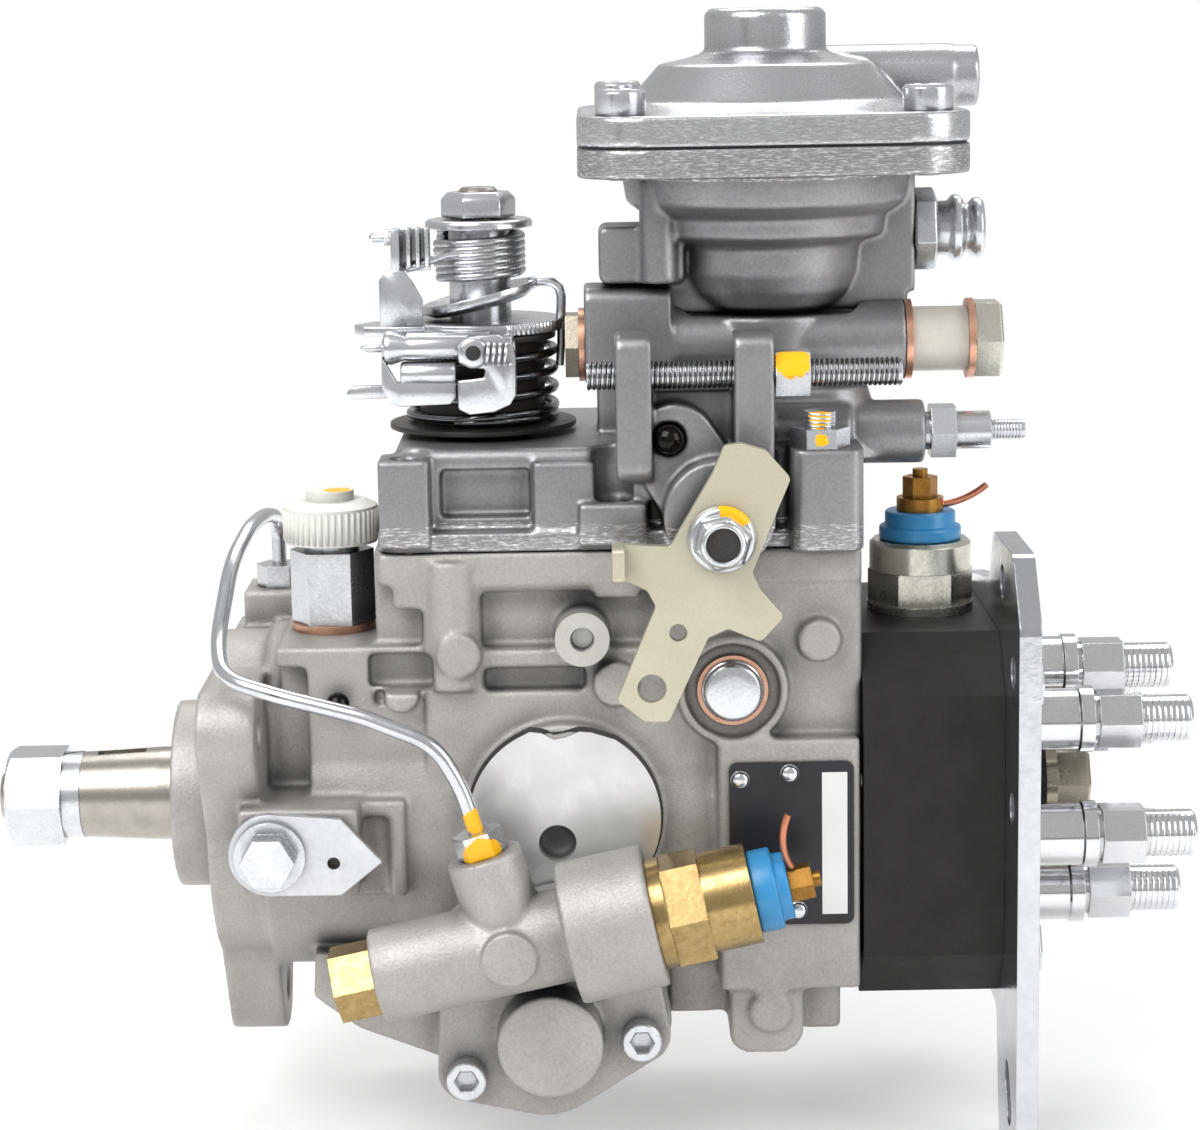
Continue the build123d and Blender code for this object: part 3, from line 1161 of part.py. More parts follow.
def make_inspection_plug():
    plug = rod_y(6.0, -PAD_Y + 1.5, -PAD_Y + 11.0, 135.0, 36.5) + rod_y(7.0, -PAD_Y - 1.0, -PAD_Y + 1.5, 135.0, 36.5)
    return plug - hex_y(6.0, -PAD_Y - 2.0, -PAD_Y + 3.0, 135.0, 36.5)


def make_shaft_seal():
    x0 = -PILOT_L + 0.5
    return rod_x(SEAL_R, x0, x0 + SEAL_T) - rod_x(SHAFT_R + 1.0 + RUN_FIT, x0 - 1, x0 + SEAL_T + 1)


def make_shaft_bush():
    x0 = -2.0
    return rod_x(BUSH_R, x0, x0 + BUSH_L) - rod_x(SHAFT_R + RUN_FIT, x0 - 1, x0 + BUSH_L + 1)


save(make_housing(), "pump_housing")
save(make_drive_shaft(), "drive_shaft")
save(make_nut(), "drive_nut")
save(make_lock_washer(), "lock_washer")
save(make_drive_gear(), "drive_gear")
save(make_feed_rotor(), "feed_rotor")
group([make_feed_ring(), make_feed_plate()], "feed_pump_stator")
save(make_cam_disc(), "cam_disc")
save(make_plunger(), "distributor_plunger")
save(make_spring_bridge(), "spring_bridge")
group(make_plunger_springs(), "plunger_springs")
save(make_roller_ring(), "roller_ring")
group(make_rollers(), "rollers")
save(make_control_sleeve(), "control_sleeve")
save(make_governor_shaft(), "governor_shaft")
save(make_governor_cage(), "governor_cage")
group(make_flyweights(), "flyweights")
save(make_governor_sleeve(), "governor_sleeve")
save(make_governor_lever(), "governor_lever")
save(make_timing_piston(), "timing_piston")
save(make_timing_spring(), "timing_spring")
save(make_shaft_seal(), "shaft_seal")
save(make_shaft_bush(), "shaft_bush")
save(make_head(), "distributor_head")
holder = make_outlet_holder()
group([Pos(0, y, z) * holder for y, z in outlet_places()], "outlet_holders")
group([make_head_plug(), make_arm_plug(), make_cold_plug()], "hex_plugs")
save(make_bracket(), "rear_bracket")
group([*make_bracket_screws(), make_lock_bolt()], "hex_bolts")
save(make_cover(), "governor_cover")
group([make_full_load_screw(), make_speed_screw(), make_cover_stud(), make_ball_plug()], "adjusting_screws")
save(make_boost_housing(), "boost_housing")
save(make_diaphragm(), "boost_diaphragm")
save(make_boost_rod(), "boost_rod")
save(make_boost_spring(), "boost_spring")
save(make_boost_cover(), "boost_cover")
save(make_vent(), "vent_fitting")
save(make_overflow_bolt(), "overflow_bolt")
save(make_overflow_spacer(), "overflow_spacer")
group(make_copper_washers(), "copper_washers")
group([*make_m6_screws(), *make_head_screws()], "m6_screws")
save(make_throttle_shaft(), "throttle_shaft")
save(make_throttle_drum() + make_throttle_lever(), "throttle_lever")
group([make_lower_spring(), make_upper_spring()], "throttle_springs")
save(make_throttle_nut(), "throttle_nut")
save(make_stop_lever(), "stop_lever")
save(make_stop_shaft(), "stop_shaft")
save(make_stop_nut(), "stop_nut")
save(make_shutoff(), "shutoff_solenoid")
save(make_shutoff_armature(), "shutoff_armature")
save(make_cold_housing(), "cold_start_housing")
save(make_cold_solenoid(), "cold_start_solenoid")
group([make_shutoff_insulator(), make_cold_insulator()], "terminal_insulators")
save(make_fuel_line(), "fuel_line")
group(make_line_nuts(), "line_nuts")
save(make_inlet(), "inlet_fitting")
save(make_inlet_cap(), "inlet_cap")
save(make_lock_plate(), "lock_plate")
save(make_nameplate(), "nameplate")
save(make_inspection_plug(), "inspection_plug")
group([make_shutoff_terminal(), make_cold_terminal(), *make_wire_stubs()], "terminals")
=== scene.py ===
import json
import math

import bmesh
import bpy
from mathutils import Matrix, Vector


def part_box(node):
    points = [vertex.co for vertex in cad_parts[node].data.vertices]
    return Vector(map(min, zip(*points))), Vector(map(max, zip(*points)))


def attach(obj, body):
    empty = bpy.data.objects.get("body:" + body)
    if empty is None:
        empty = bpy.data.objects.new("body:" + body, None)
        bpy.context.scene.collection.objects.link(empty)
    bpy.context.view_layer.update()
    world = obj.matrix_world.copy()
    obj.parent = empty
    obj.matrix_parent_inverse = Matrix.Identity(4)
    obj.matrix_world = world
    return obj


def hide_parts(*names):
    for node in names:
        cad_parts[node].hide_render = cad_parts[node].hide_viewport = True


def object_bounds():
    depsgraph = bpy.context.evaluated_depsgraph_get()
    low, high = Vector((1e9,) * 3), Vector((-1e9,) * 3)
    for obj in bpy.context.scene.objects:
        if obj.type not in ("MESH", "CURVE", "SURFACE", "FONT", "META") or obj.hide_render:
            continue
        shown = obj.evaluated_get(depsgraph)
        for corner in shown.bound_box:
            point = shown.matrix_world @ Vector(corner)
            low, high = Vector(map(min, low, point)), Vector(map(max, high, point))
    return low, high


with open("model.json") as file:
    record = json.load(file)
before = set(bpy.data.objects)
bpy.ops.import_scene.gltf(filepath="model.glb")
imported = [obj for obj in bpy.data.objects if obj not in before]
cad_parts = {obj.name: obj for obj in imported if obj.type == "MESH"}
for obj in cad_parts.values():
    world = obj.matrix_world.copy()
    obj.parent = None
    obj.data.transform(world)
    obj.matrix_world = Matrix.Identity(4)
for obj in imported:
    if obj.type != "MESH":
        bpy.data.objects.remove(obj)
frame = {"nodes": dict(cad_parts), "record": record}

CAD_BOX = [list(corner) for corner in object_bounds()]
MM = 0.001
NODES = frame["nodes"]
BODY_OF = {node: body for body, nodes in frame["record"]["behaviour"]["bodies"].items() for node in nodes}


# Material tools

TONE_SPREAD = 0.3
# How far ambient occlusion looks for corners, recesses and gaps when it paints shade (partly grime) into a finish.
DIRT_AND_PAINTED_SHADE_REACH = 7.0 * MM
FILED_HEX = "E9E9EA"
FILED_ROUGH = 0.22
FILED_SLANT = math.radians(35.0)
DAUB_RAGGED = 3.0 * MM


def linear(hexcode):
    values = [int(hexcode[i:i + 2], 16) / 255 for i in (0, 2, 4)]
    return (*[v / 12.92 if v <= 0.04045 else ((v + 0.055) / 1.055) ** 2.4 for v in values], 1.0)


def add(tree, kind, settings=None, inputs=None):
    """One node with its attributes, and its inputs as values or as other nodes' outputs."""
    node = tree.nodes.new(kind)
    for name, value in (settings or {}).items():
        setattr(node, name, value)
    for name, value in (inputs or {}).items():
        if isinstance(value, bpy.types.NodeSocket):
            tree.links.new(value, node.inputs[name])
        else:
            node.inputs[name].default_value = value
    return node


def surface(name, light, dark, metallic, rough, grain_mm, depth_mm, blotch_mm, ior=1.5, rough_spread=0.08,
            streak=(1.0, 1.0, 1.0), dirt_and_painted_shade=0.0, dirt_and_painted_shade_hex="2E2C2A", edge=0.0, daubs=(), daub_hex="F2B200",
            daub_metallic=0.0, filed=()):
    """A finish with two tones in blotches, a grain that shows as bump and as roughness, painted shade (partly grime) in
    its corners and recesses, daubs of marking paint, each a place and a radius in millimetres, and rims that were filed
    bright, each from one height to another."""
    material = bpy.data.materials.new(name)
    material.use_nodes = True
    tree = material.node_tree
    shader = tree.nodes["Principled BSDF"]
    shader.inputs["Metallic"].default_value = metallic
    if metallic < 0.5:
        shader.inputs["IOR"].default_value = ior
    place = add(tree, "ShaderNodeTexCoord").outputs["Object"]
    stretched = add(tree, "ShaderNodeMapping", inputs={"Vector": place, "Scale": streak}).outputs["Vector"]
    grain = add(tree, "ShaderNodeTexNoise", inputs={"Vector": stretched, "Scale": 1.0 / (grain_mm * MM),
                                                   "Detail": 3.0, "Roughness": 0.6}).outputs["Fac"]
    blotch = add(tree, "ShaderNodeTexNoise", inputs={"Vector": place, "Scale": 1.0 / (blotch_mm * MM),
                                                    "Detail": 4.0, "Roughness": 0.55}).outputs["Fac"]
    both = add(tree, "ShaderNodeMix", {"data_type": "FLOAT"},
               {"Factor": 0.5, "A": blotch, "B": grain}).outputs["Result"]
    tone = add(tree, "ShaderNodeMapRange", inputs={"Value": both, "From Min": 0.5 - TONE_SPREAD,
                                                   "From Max": 0.5 + TONE_SPREAD}).outputs["Result"]
    colour = add(tree, "ShaderNodeMix", {"data_type": "RGBA"})
    colour.inputs[6].default_value = linear(dark)
    colour.inputs[7].default_value = linear(light)
    tree.links.new(tone, colour.inputs["Factor"])
    paint = colour.outputs[2]
    # Painted shade, partly grime: the colour darkens towards a dark tone where ambient occlusion finds corners,
    # recesses and gaps between parts.
    if dirt_and_painted_shade:
        near = add(tree, "ShaderNodeAmbientOcclusion", {"samples": 4}, {"Distance": DIRT_AND_PAINTED_SHADE_REACH}).outputs["AO"]
        shade = add(tree, "ShaderNodeMapRange", inputs={"Value": near, "From Min": 0.25, "From Max": 0.92,
                                                       "To Min": dirt_and_painted_shade, "To Max": 0.0}).outputs["Result"]
        painted_shade_and_grime = add(tree, "ShaderNodeMix", {"data_type": "RGBA"})
        tree.links.new(shade, painted_shade_and_grime.inputs["Factor"])
        tree.links.new(paint, painted_shade_and_grime.inputs[6])
        painted_shade_and_grime.inputs[7].default_value = linear(dirt_and_painted_shade_hex)
        paint = painted_shade_and_grime.outputs[2]
    scratches = None
    if filed:
        slanted = add(tree, "ShaderNodeMapping", inputs={"Vector": place, "Rotation": (0.0, FILED_SLANT, 0.0),
                                                        "Scale": (1.0, 1.0, 7.0)}).outputs["Vector"]
        lines = add(tree, "ShaderNodeTexNoise", inputs={"Vector": slanted, "Scale": 1.0 / (2.2 * MM), "Detail": 4.0,
                                                       "Roughness": 0.7}).outputs["Fac"]
        height = add(tree, "ShaderNodeSeparateXYZ", inputs={0: place}).outputs["Z"]
        upright = add(tree, "ShaderNodeSeparateXYZ", inputs={0: add(tree, "ShaderNodeNewGeometry").outputs["Normal"]})
        level = add(tree, "ShaderNodeMath", {"operation": "ABSOLUTE"}, {0: upright.outputs["Z"]}).outputs[0]
        band = add(tree, "ShaderNodeMath", {"operation": "LESS_THAN"}, {0: level, 1: 0.55}).outputs[0]
        inside = None
        for low, high in filed:
            over = add(tree, "ShaderNodeMath", {"operation": "GREATER_THAN"}, {0: height, 1: low * MM}).outputs[0]
            under = add(tree, "ShaderNodeMath", {"operation": "LESS_THAN"}, {0: height, 1: high * MM}).outputs[0]
            both_ways = add(tree, "ShaderNodeMath", {"operation": "MULTIPLY"}, {0: over, 1: under}).outputs[0]
            inside = both_ways if inside is None else add(tree, "ShaderNodeMath", {"operation": "MAXIMUM"},
                                                          {0: inside, 1: both_ways}).outputs[0]
        band = add(tree, "ShaderNodeMath", {"operation": "MULTIPLY"}, {0: band, 1: inside}).outputs[0]
        streaks = add(tree, "ShaderNodeMapRange",
                      inputs={"Value": lines, "From Min": 0.5, "From Max": 0.66}).outputs["Result"]
        scratches = add(tree, "ShaderNodeMath", {"operation": "MULTIPLY"}, {0: streaks, 1: band}).outputs[0]
        bright = add(tree, "ShaderNodeMix", {"data_type": "RGBA"})
        tree.links.new(scratches, bright.inputs["Factor"])
        tree.links.new(paint, bright.inputs[6])
        bright.inputs[7].default_value = linear(FILED_HEX)
        paint = bright.outputs[2]
    if daubs:
        ragged = add(tree, "ShaderNodeMath", {"operation": "MULTIPLY_ADD"},
                     {0: grain, 1: DAUB_RAGGED, 2: -DAUB_RAGGED / 2}).outputs[0]
        covered = None
        for spot, radius in daubs:
            away = add(tree, "ShaderNodeVectorMath", {"operation": "DISTANCE"},
                       {0: place, 1: [v * MM for v in spot]}).outputs["Value"]
            away = add(tree, "ShaderNodeMath", {"operation": "ADD"}, {0: away, 1: ragged}).outputs[0]
            inside = add(tree, "ShaderNodeMath", {"operation": "LESS_THAN"}, {0: away, 1: radius * MM}).outputs[0]
            covered = inside if covered is None else add(tree, "ShaderNodeMath", {"operation": "MAXIMUM"},
                                                         {0: covered, 1: inside}).outputs[0]
        dab = add(tree, "ShaderNodeMix", {"data_type": "RGBA"})
        tree.links.new(covered, dab.inputs["Factor"])
        tree.links.new(paint, dab.inputs[6])
        dab.inputs[7].default_value = linear(daub_hex)
        paint = dab.outputs[2]
        bare = add(tree, "ShaderNodeMapRange", inputs={"Value": covered, "To Min": metallic, "To Max": daub_metallic})
        tree.links.new(bare.outputs["Result"], shader.inputs["Metallic"])
    tree.links.new(paint, shader.inputs["Base Color"])
    gloss = add(tree, "ShaderNodeMapRange", inputs={"Value": both, "From Min": 0.3, "From Max": 0.7,
                                                   "To Min": rough + rough_spread, "To Max": rough - rough_spread})
    rough_out = gloss.outputs["Result"]
    if filed:
        rough_out = add(tree, "ShaderNodeMix", {"data_type": "FLOAT"},
                        {"Factor": scratches, "A": rough_out, "B": FILED_ROUGH}).outputs["Result"]
    tree.links.new(rough_out, shader.inputs["Roughness"])
    bump = add(tree, "ShaderNodeBump", inputs={"Height": grain, "Strength": 1.0, "Distance": depth_mm * MM})
    if edge:
        soft = add(tree, "ShaderNodeBevel", {"samples": 4}, {"Radius": edge * MM}).outputs["Normal"]
        tree.links.new(soft, bump.inputs["Normal"])
    tree.links.new(bump.outputs["Normal"], shader.inputs["Normal"])
    return material


# Finishes, each named for what it is, with what it gives the eye

# Looks that a finish shares with the same finish under spots of paint or another metal
LOOK = {
    "zinc": ("E3E5E8", "C2C6CA", 0.95, 0.24, 0.8, 0.012, 7.0),
    "ivory": ("E0DFD9", "CFCEC7", 0.0, 0.4, 0.6, 0.02, 8.0),
    "gold": ("C8AE78", "8F754A", 0.95, 0.24, 1.2, 0.02, 4.0),
    "pipe": ("E0E1E4", "B9BBC0", 0.95, 0.2, 0.9, 0.005, 12.0),
    "terminal": ("B8883F", "80581F", 0.85, 0.34, 0.8, 0.02, 3.0),
}
# Castings: strong painted shade, partly grime, in corners and recesses, and softened edges; the finishes below that
# darken in their corners do so less.
CAST_EDGE = {"dirt_and_painted_shade": 0.9, "edge": 0.8}
FINISH = {
    # Shot-blasted sand casting: matt warm grey with a salt-like grain, and corners darkened by painted shade, partly
    # grime.
    "sand_cast": surface("blasted_sand_cast_aluminium", "BDBAB7", "94908C", 0.55, 0.5, 0.7, 0.16, 16.0, **CAST_EDGE),
    # Die casting: smoother and cooler grey, faint clouds, soft edges.
    "die_cast": surface("tumbled_die_cast_aluminium", "A8A7A8", "7B7A7C", 0.75, 0.38, 0.9, 0.06, 18.0, **CAST_EDGE,
                        filed=((70.0, 79.5), (163.5, 173.6))),
    # Machine-cleaned die casting of the top cover: the brightest casting, satin.
    "bright_cast": surface("satin_die_cast_aluminium", "CBCCCF", "9C9DA1", 0.85, 0.27, 0.8, 0.05, 20.0, dirt_and_painted_shade=0.6,
                           edge=0.7, filed=((172.0, 181.0),)),
    # Milled aluminium: bright, with fine tool lines.
    "milled": surface("milled_aluminium", "E2E2E1", "C4C4C3", 0.8, 0.3, 0.25, 0.01, 9.0, streak=(1.0, 1.0, 14.0)),
    # Blackened iron head: nearly black, satin, brown where it rubbed.
    "black": surface("blackened_steel", "2B2A28", "181716", 0.4, 0.5, 0.6, 0.05, 9.0, dirt_and_painted_shade=0.3,
                     dirt_and_painted_shade_hex="0E0D0C", edge=0.5),
    # Bright zinc plate on rolled or turned steel: pale, a little blue, satin.
    "zinc": surface("bright_zinc_plate", *LOOK["zinc"], dirt_and_painted_shade=0.5, edge=0.35),
    # Zinc plate on the sheet bracket: matt, with clouds of spangle.
    "zinc_sheet": surface("rolled_zinc_plated_sheet", "DFE1E4", "C3C6CA", 0.8, 0.36, 1.6, 0.02, 11.0, dirt_and_painted_shade=0.5,
                          edge=0.5),
    # The thick rear bracket: plated brighter, so that it mirrors the dark head; its sheared edge is dimpled.
    "bracket": surface("bright_zinc_plated_plate", "D6D8DB", "BABDC2", 1.0, 0.2, 2.2, 0.09, 9.0,
                       rough_spread=0.05, dirt_and_painted_shade=0.2, edge=0.5),
    # Nickel-bright outlet unions: mirror bands and hard edges.
    "nickel": surface("nickel_bright_steel", "E9EAEC", "CFD1D4", 1.0, 0.15, 0.8, 0.006, 8.0, rough_spread=0.04,
                      dirt_and_painted_shade=0.5, edge=0.3),
    # Matt white paper label.
    "label": surface("matt_white_label", "DEDEDC", "D3D3D0", 0.0, 0.5, 0.5, 0.01, 8.0),
    # Blackened bearing ball: a dark mirror with one lamp in it.
    "ball": surface("blackened_bearing_ball", "2A2626", "191717", 0.9, 0.12, 0.5, 0.002, 4.0, rough_spread=0.02),
    # Yellow passivated zinc: gold with green and red clouds.
    "gold": surface("yellow_passivated_zinc", *LOOK["gold"], dirt_and_painted_shade=0.5, dirt_and_painted_shade_hex="2E2110", edge=0.35),
    # Pale olive-beige passivate on the stop lever, worn to grey.
    "beige": surface("worn_beige_passivate", "CDC9B3", "B8B39D", 0.6, 0.38, 0.7, 0.015, 9.0, dirt_and_painted_shade=0.4, edge=0.35),
    # Ground steel: grey-brown and smooth, with rings from turning.
    "ground": surface("ground_steel", "BFBAB2", "8E8880", 0.95, 0.28, 0.3, 0.01, 6.0, streak=(9.0, 1.0, 1.0), edge=0.3),
    # Drawn spring wire: grey with lengthwise shine.
    "wire": surface("drawn_spring_steel", "C9CACC", "8F9194", 0.95, 0.28, 0.5, 0.01, 5.0),
    # Return spring wire: its colour painted nearly black to stand in for dark reflections, with painted shade between
    # the turns; hard white glints along each turn come from the lamps.
    "wire_painted_dark": surface("spring_steel_painted_dark", "8E8F92", "5E5F62", 1.0, 0.13, 0.6, 0.004, 6.0, rough_spread=0.03,
                          dirt_and_painted_shade=0.8, dirt_and_painted_shade_hex="0C0C0C"),
    # Blackened drum and shaft of the levers: dull and nearly black.
    "black_zinc": surface("black_phosphated_steel", "4A4845", "2A2927", 0.6, 0.45, 0.8, 0.03, 6.0, dirt_and_painted_shade=0.3, edge=0.4),
    # Faced boss: turned aluminium gone dull.
    "faced": surface("dull_faced_aluminium", "CFCDC8", "B5B2AC", 0.6, 0.45, 0.4, 0.01, 5.0),
    # Annealed copper washers: salmon with brown spots.
    "copper": surface("annealed_copper", "EBC0A8", "CE9276", 0.95, 0.33, 0.5, 0.015, 3.0, dirt_and_painted_shade=0.6, edge=0.2),
    # Moulded polyamide: blue, a little glossy.
    "blue": surface("moulded_blue_polyamide", "3590C6", "2474A6", 0.0, 0.32, 0.5, 0.01, 6.0, ior=1.53, edge=0.4),
    # Moulded polyethylene cap: ivory and waxy.
    "ivory": surface("moulded_ivory_polyethylene", *LOOK["ivory"], ior=1.51, edge=0.4),
    # Milky spacer: translucent nylon.
    "milky": surface("milky_nylon", "D3CFC5", "BCB8AD", 0.0, 0.36, 0.6, 0.01, 6.0, ior=1.53, edge=0.3),
    # Anodised name plate: near black with a slight sheen.
    "plate": surface("black_anodised_plate", "2C2C31", "1F1F23", 0.3, 0.35, 0.4, 0.01, 7.0, edge=0.2),
    # Rubber: dull black.
    "rubber": surface("nitrile_rubber", "242426", "171719", 0.0, 0.6, 0.6, 0.02, 5.0, ior=1.52),
    # Sintered bronze: brown-gold and porous.
    "bronze": surface("sintered_bronze", "B58A4E", "8A6534", 0.9, 0.4, 0.4, 0.04, 3.0),
    # Solenoid can and overflow bolt: zinc with an olive tinge.
    "can": surface("olive_zinc_plate", "E2E0D6", "BFBBAD", 0.95, 0.24, 1.0, 0.015, 6.0, dirt_and_painted_shade=0.5, edge=0.35),
}

FINISH_OF = {
    "pump_housing": "sand_cast", "cold_start_housing": "sand_cast", "governor_cover": "die_cast",
    "boost_housing": "die_cast", "boost_cover": "bright_cast", "distributor_head": "black",
    "rear_bracket": "bracket", "outlet_holders": "nickel", "hex_bolts": "zinc", "copper_washers": "copper",
    "overflow_bolt": "can", "overflow_spacer": "milky", "vent_fitting": "zinc", "shutoff_solenoid": "can",
    "terminal_insulators": "blue", "cold_start_solenoid": "gold", "inlet_fitting": "zinc", "lock_plate": "zinc_sheet",
    "nameplate": "plate", "inspection_plug": "zinc", "stop_shaft": "black_zinc",
    "boost_diaphragm": "rubber", "shaft_seal": "rubber", "shaft_bush": "bronze", "throttle_lever": "black_zinc",
    "throttle_springs": "wire", "boost_spring": "wire", "timing_spring": "wire", "plunger_springs": "wire",
    "throttle_nut": "zinc", "stop_lever": "beige", "drive_nut": "zinc", "lock_washer": "zinc",
}
# Nodes with spots of another finish, which are marking paint, copper wire and grey plugs among gold ones: the look,
# each spot's place and radius in millimetres, its colour and how metallic it is
YELLOW = ("F2B200", 0.0)
SPOTTED = {
    "stop_nut": ("zinc", [((136.0, -66.0, 86.5), 5.0)], *YELLOW),
    "line_nuts": ("zinc", [((72.0, -74.0, 2.0), 5.0)], *YELLOW),
    "adjusting_screws": ("zinc", [((150.5, -49.0, 120.0), 4.5), ((157.0, -49.5, 106.0), 3.2),
                                  ((157.5, -52.0, 100.5), 1.6)], *YELLOW),
    "hex_plugs": ("gold", [((98.0, -8.0, 120.5), 13.0), ((222.0, 0.0, 0.0), 19.0)], "A39B8B", 0.85),
    "inlet_cap": ("ivory", [((34.0, -16.0, 86.0), 4.0)], *YELLOW),
    "m6_screws": ("zinc", [((187.5, -42.5, 184.0), 3.0)], *YELLOW),
    "fuel_line": ("pipe", [((70.1, -71.0, 10.0), 3.2)], *YELLOW),
    "terminals": ("terminal", [((146.3, -75.5, 6.0), 9.0), ((199.6, -5.5, 79.0), 7.4)], "C98468", 0.9),
}
for node, (look, spots, spot_hex, spot_metal) in SPOTTED.items():
    FINISH[node] = surface(f"{node}_{look}_spotted", *LOOK[look], dirt_and_painted_shade=0.3, edge=0.35, daubs=spots,
                           daub_hex=spot_hex, daub_metallic=spot_metal)
    FINISH_OF[node] = node
for node, piece in NODES.items():
    piece.data.materials.clear()
    piece.data.materials.append(FINISH[FINISH_OF.get(node, "ground")])


# Piece tools

def mesh_piece(name, mesh, finish, node, replaces=()):
    """Puts a mesh in the scene as a piece that rides with a CAD node's body."""
    piece = bpy.data.objects.new(name, mesh)
    bpy.context.scene.collection.objects.link(piece)
    mesh.materials.clear()
    mesh.materials.append(FINISH[finish])
    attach(piece, BODY_OF[node])
    if replaces:
        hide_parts(*replaces)
    return piece


def plain_mesh(maker, name):
    """The evaluated result of an object's modifiers as a mesh of its own."""
    graph = bpy.context.evaluated_depsgraph_get()
    mesh = bpy.data.meshes.new_from_object(maker.evaluated_get(graph))
    mesh.name = name
    bpy.data.objects.remove(maker)
    return mesh


# Shapes in millimetres, added to one bmesh for each piece

AXES = {"x": (1, 2, 0), "y": (0, 2, 1), "z": (0, 1, 2)}


def placed(axis, across, up, along):
    """A point from two coordinates across an axis, in the order x y z, and one along it."""
    spot = [0.0, 0.0, 0.0]
    for index, value in zip(AXES[axis], (across, up, along)):
        spot[index] = value * MM
    return spot


def slab(shape, axis, outline, low, high):
    """A plate with this outline, from low to high along the axis."""
    ends = [[shape.verts.new(placed(axis, a, b, level)) for a, b in outline] for level in (low, high)]
    shape.faces.new(ends[0])
    shape.faces.new(ends[1][::-1])
    for i in range(len(outline)):
        k = (i + 1) % len(outline)
        shape.faces.new((ends[0][i], ends[0][k], ends[1][k], ends[1][i]))


def box_mm(shape, low, high):
    slab(shape, "z", [(low[0], low[1]), (high[0], low[1]), (high[0], high[1]), (low[0], high[1])], low[2], high[2])


def lathe(shape, axis, centre, profile, count=48, turn=0.0, hollow=False):
    """A turned form: the profile gives radius and place along the axis. Few sides make a hexagon; a hollow form
    joins its last ring to its first."""
    rings = []
    for radius, along in profile:
        steps = [turn + 2 * math.pi * i / count for i in range(count)]
        rings.append([shape.verts.new(placed(axis, centre[0] + radius * math.cos(a), centre[1] + radius * math.sin(a),
                                             along)) for a in steps])
    for one, two in zip(rings, rings[1:] + (rings[:1] if hollow else [])):
        for i in range(count):
            k = (i + 1) % count
            shape.faces.new((one[i], one[k], two[k], two[i]))
    if not hollow:
        shape.faces.new(rings[0])
        shape.faces.new(rings[-1][::-1])


def wire(shape, points, radius, count=12):
    """A bent wire through these points."""
    spots = [Vector(point) * MM for point in points]
    side = None
    rings = []
    for i, spot in enumerate(spots):
        ahead = (spots[min(i + 1, len(spots) - 1)] - spots[max(i - 1, 0)]).normalized()
        if side is None:
            side = ahead.orthogonal().normalized()
        side = (side - ahead * side.dot(ahead)).normalized()
        up = ahead.cross(side)
        rings.append([shape.verts.new(spot + (side * math.cos(a) + up * math.sin(a)) * radius * MM)
                      for a in [2 * math.pi * k / count for k in range(count)]])
    for one, two in zip(rings, rings[1:]):
        for i in range(count):
            k = (i + 1) % count
            shape.faces.new((one[i], one[k], two[k], two[i]))
    shape.faces.new(rings[0])
    shape.faces.new(rings[-1][::-1])


def arc_points(centre, radius, start, end, count, rise=(0.0, 0.0)):
    """Points on a level arc in degrees, rising from one height to another."""
    points = []
    for i in range(count + 1):
        a = math.radians(start + (end - start) * i / count)
        z = rise[0] + (rise[1] - rise[0]) * i / count
        points.append((centre[0] + radius * math.cos(a), centre[1] + radius * math.sin(a), z))
    return points


def finish_piece(name, shape, finish, node, replaces=(), bevel_mm=0.25):
    """Closes a piece: outward faces, broken edges, smooth rounds."""
    bmesh.ops.recalc_face_normals(shape, faces=shape.faces[:])
    mesh = bpy.data.meshes.new(name)
    shape.to_mesh(mesh)
    shape.free()
    maker = bpy.data.objects.new(name + "_blank", mesh)
    bpy.context.scene.collection.objects.link(maker)
    bevel = maker.modifiers.new("broken_edges", "BEVEL")
    bevel.width = bevel_mm * MM
    bevel.segments = 2
    bevel.limit_method = "ANGLE"
    bevel.angle_limit = math.radians(40)
    mesh = plain_mesh(maker, name)
    mesh.shade_smooth()
    mesh.set_sharp_from_angle(angle=math.radians(35))
    return mesh_piece(name, mesh, finish, node, replaces)


# Castings: the CAD solids with the rounded edges that a mould leaves

WELD = 0.01 * MM
TRIANGLE_LIMIT = 190000
TRIANGLE_GOAL = 185000


def casting(node, finish, voxel_mm, passes, extras=(), cuts=()):
    """The node's solid, with small webs and rims grown on and recesses cut, all softened as a mould leaves them."""
    shape = bpy.data.objects.new(node + "_pattern", NODES[node].data.copy())
    bpy.context.scene.collection.objects.link(shape)
    welded = bmesh.new()
    welded.from_mesh(shape.data)
    bmesh.ops.remove_doubles(welded, verts=welded.verts, dist=WELD)
    for add_form in extras:
        add_form(welded)
    welded.to_mesh(shape.data)
    welded.free()
    if cuts:
        shape.data = cut_mesh(shape, cuts)
    remesh = shape.modifiers.new("skin", "REMESH")
    remesh.mode = "VOXEL"
    remesh.voxel_size = voxel_mm * MM
    smooth = shape.modifiers.new("mould", "SMOOTH")
    smooth.factor = 0.5
    smooth.iterations = passes
    mesh = plain_mesh(shape, node + "_cast")
    triangles = sum(len(face.vertices) - 2 for face in mesh.polygons)
    if triangles > TRIANGLE_LIMIT:
        thin = bpy.data.objects.new(node + "_thin", mesh)
        bpy.context.scene.collection.objects.link(thin)
        fewer = thin.modifiers.new("fewer", "DECIMATE")
        fewer.ratio = TRIANGLE_GOAL / triangles
        mesh = plain_mesh(thin, node + "_cast")
    mesh.shade_smooth()
    return mesh_piece(node + "_casting", mesh, finish, node, replaces=[node])


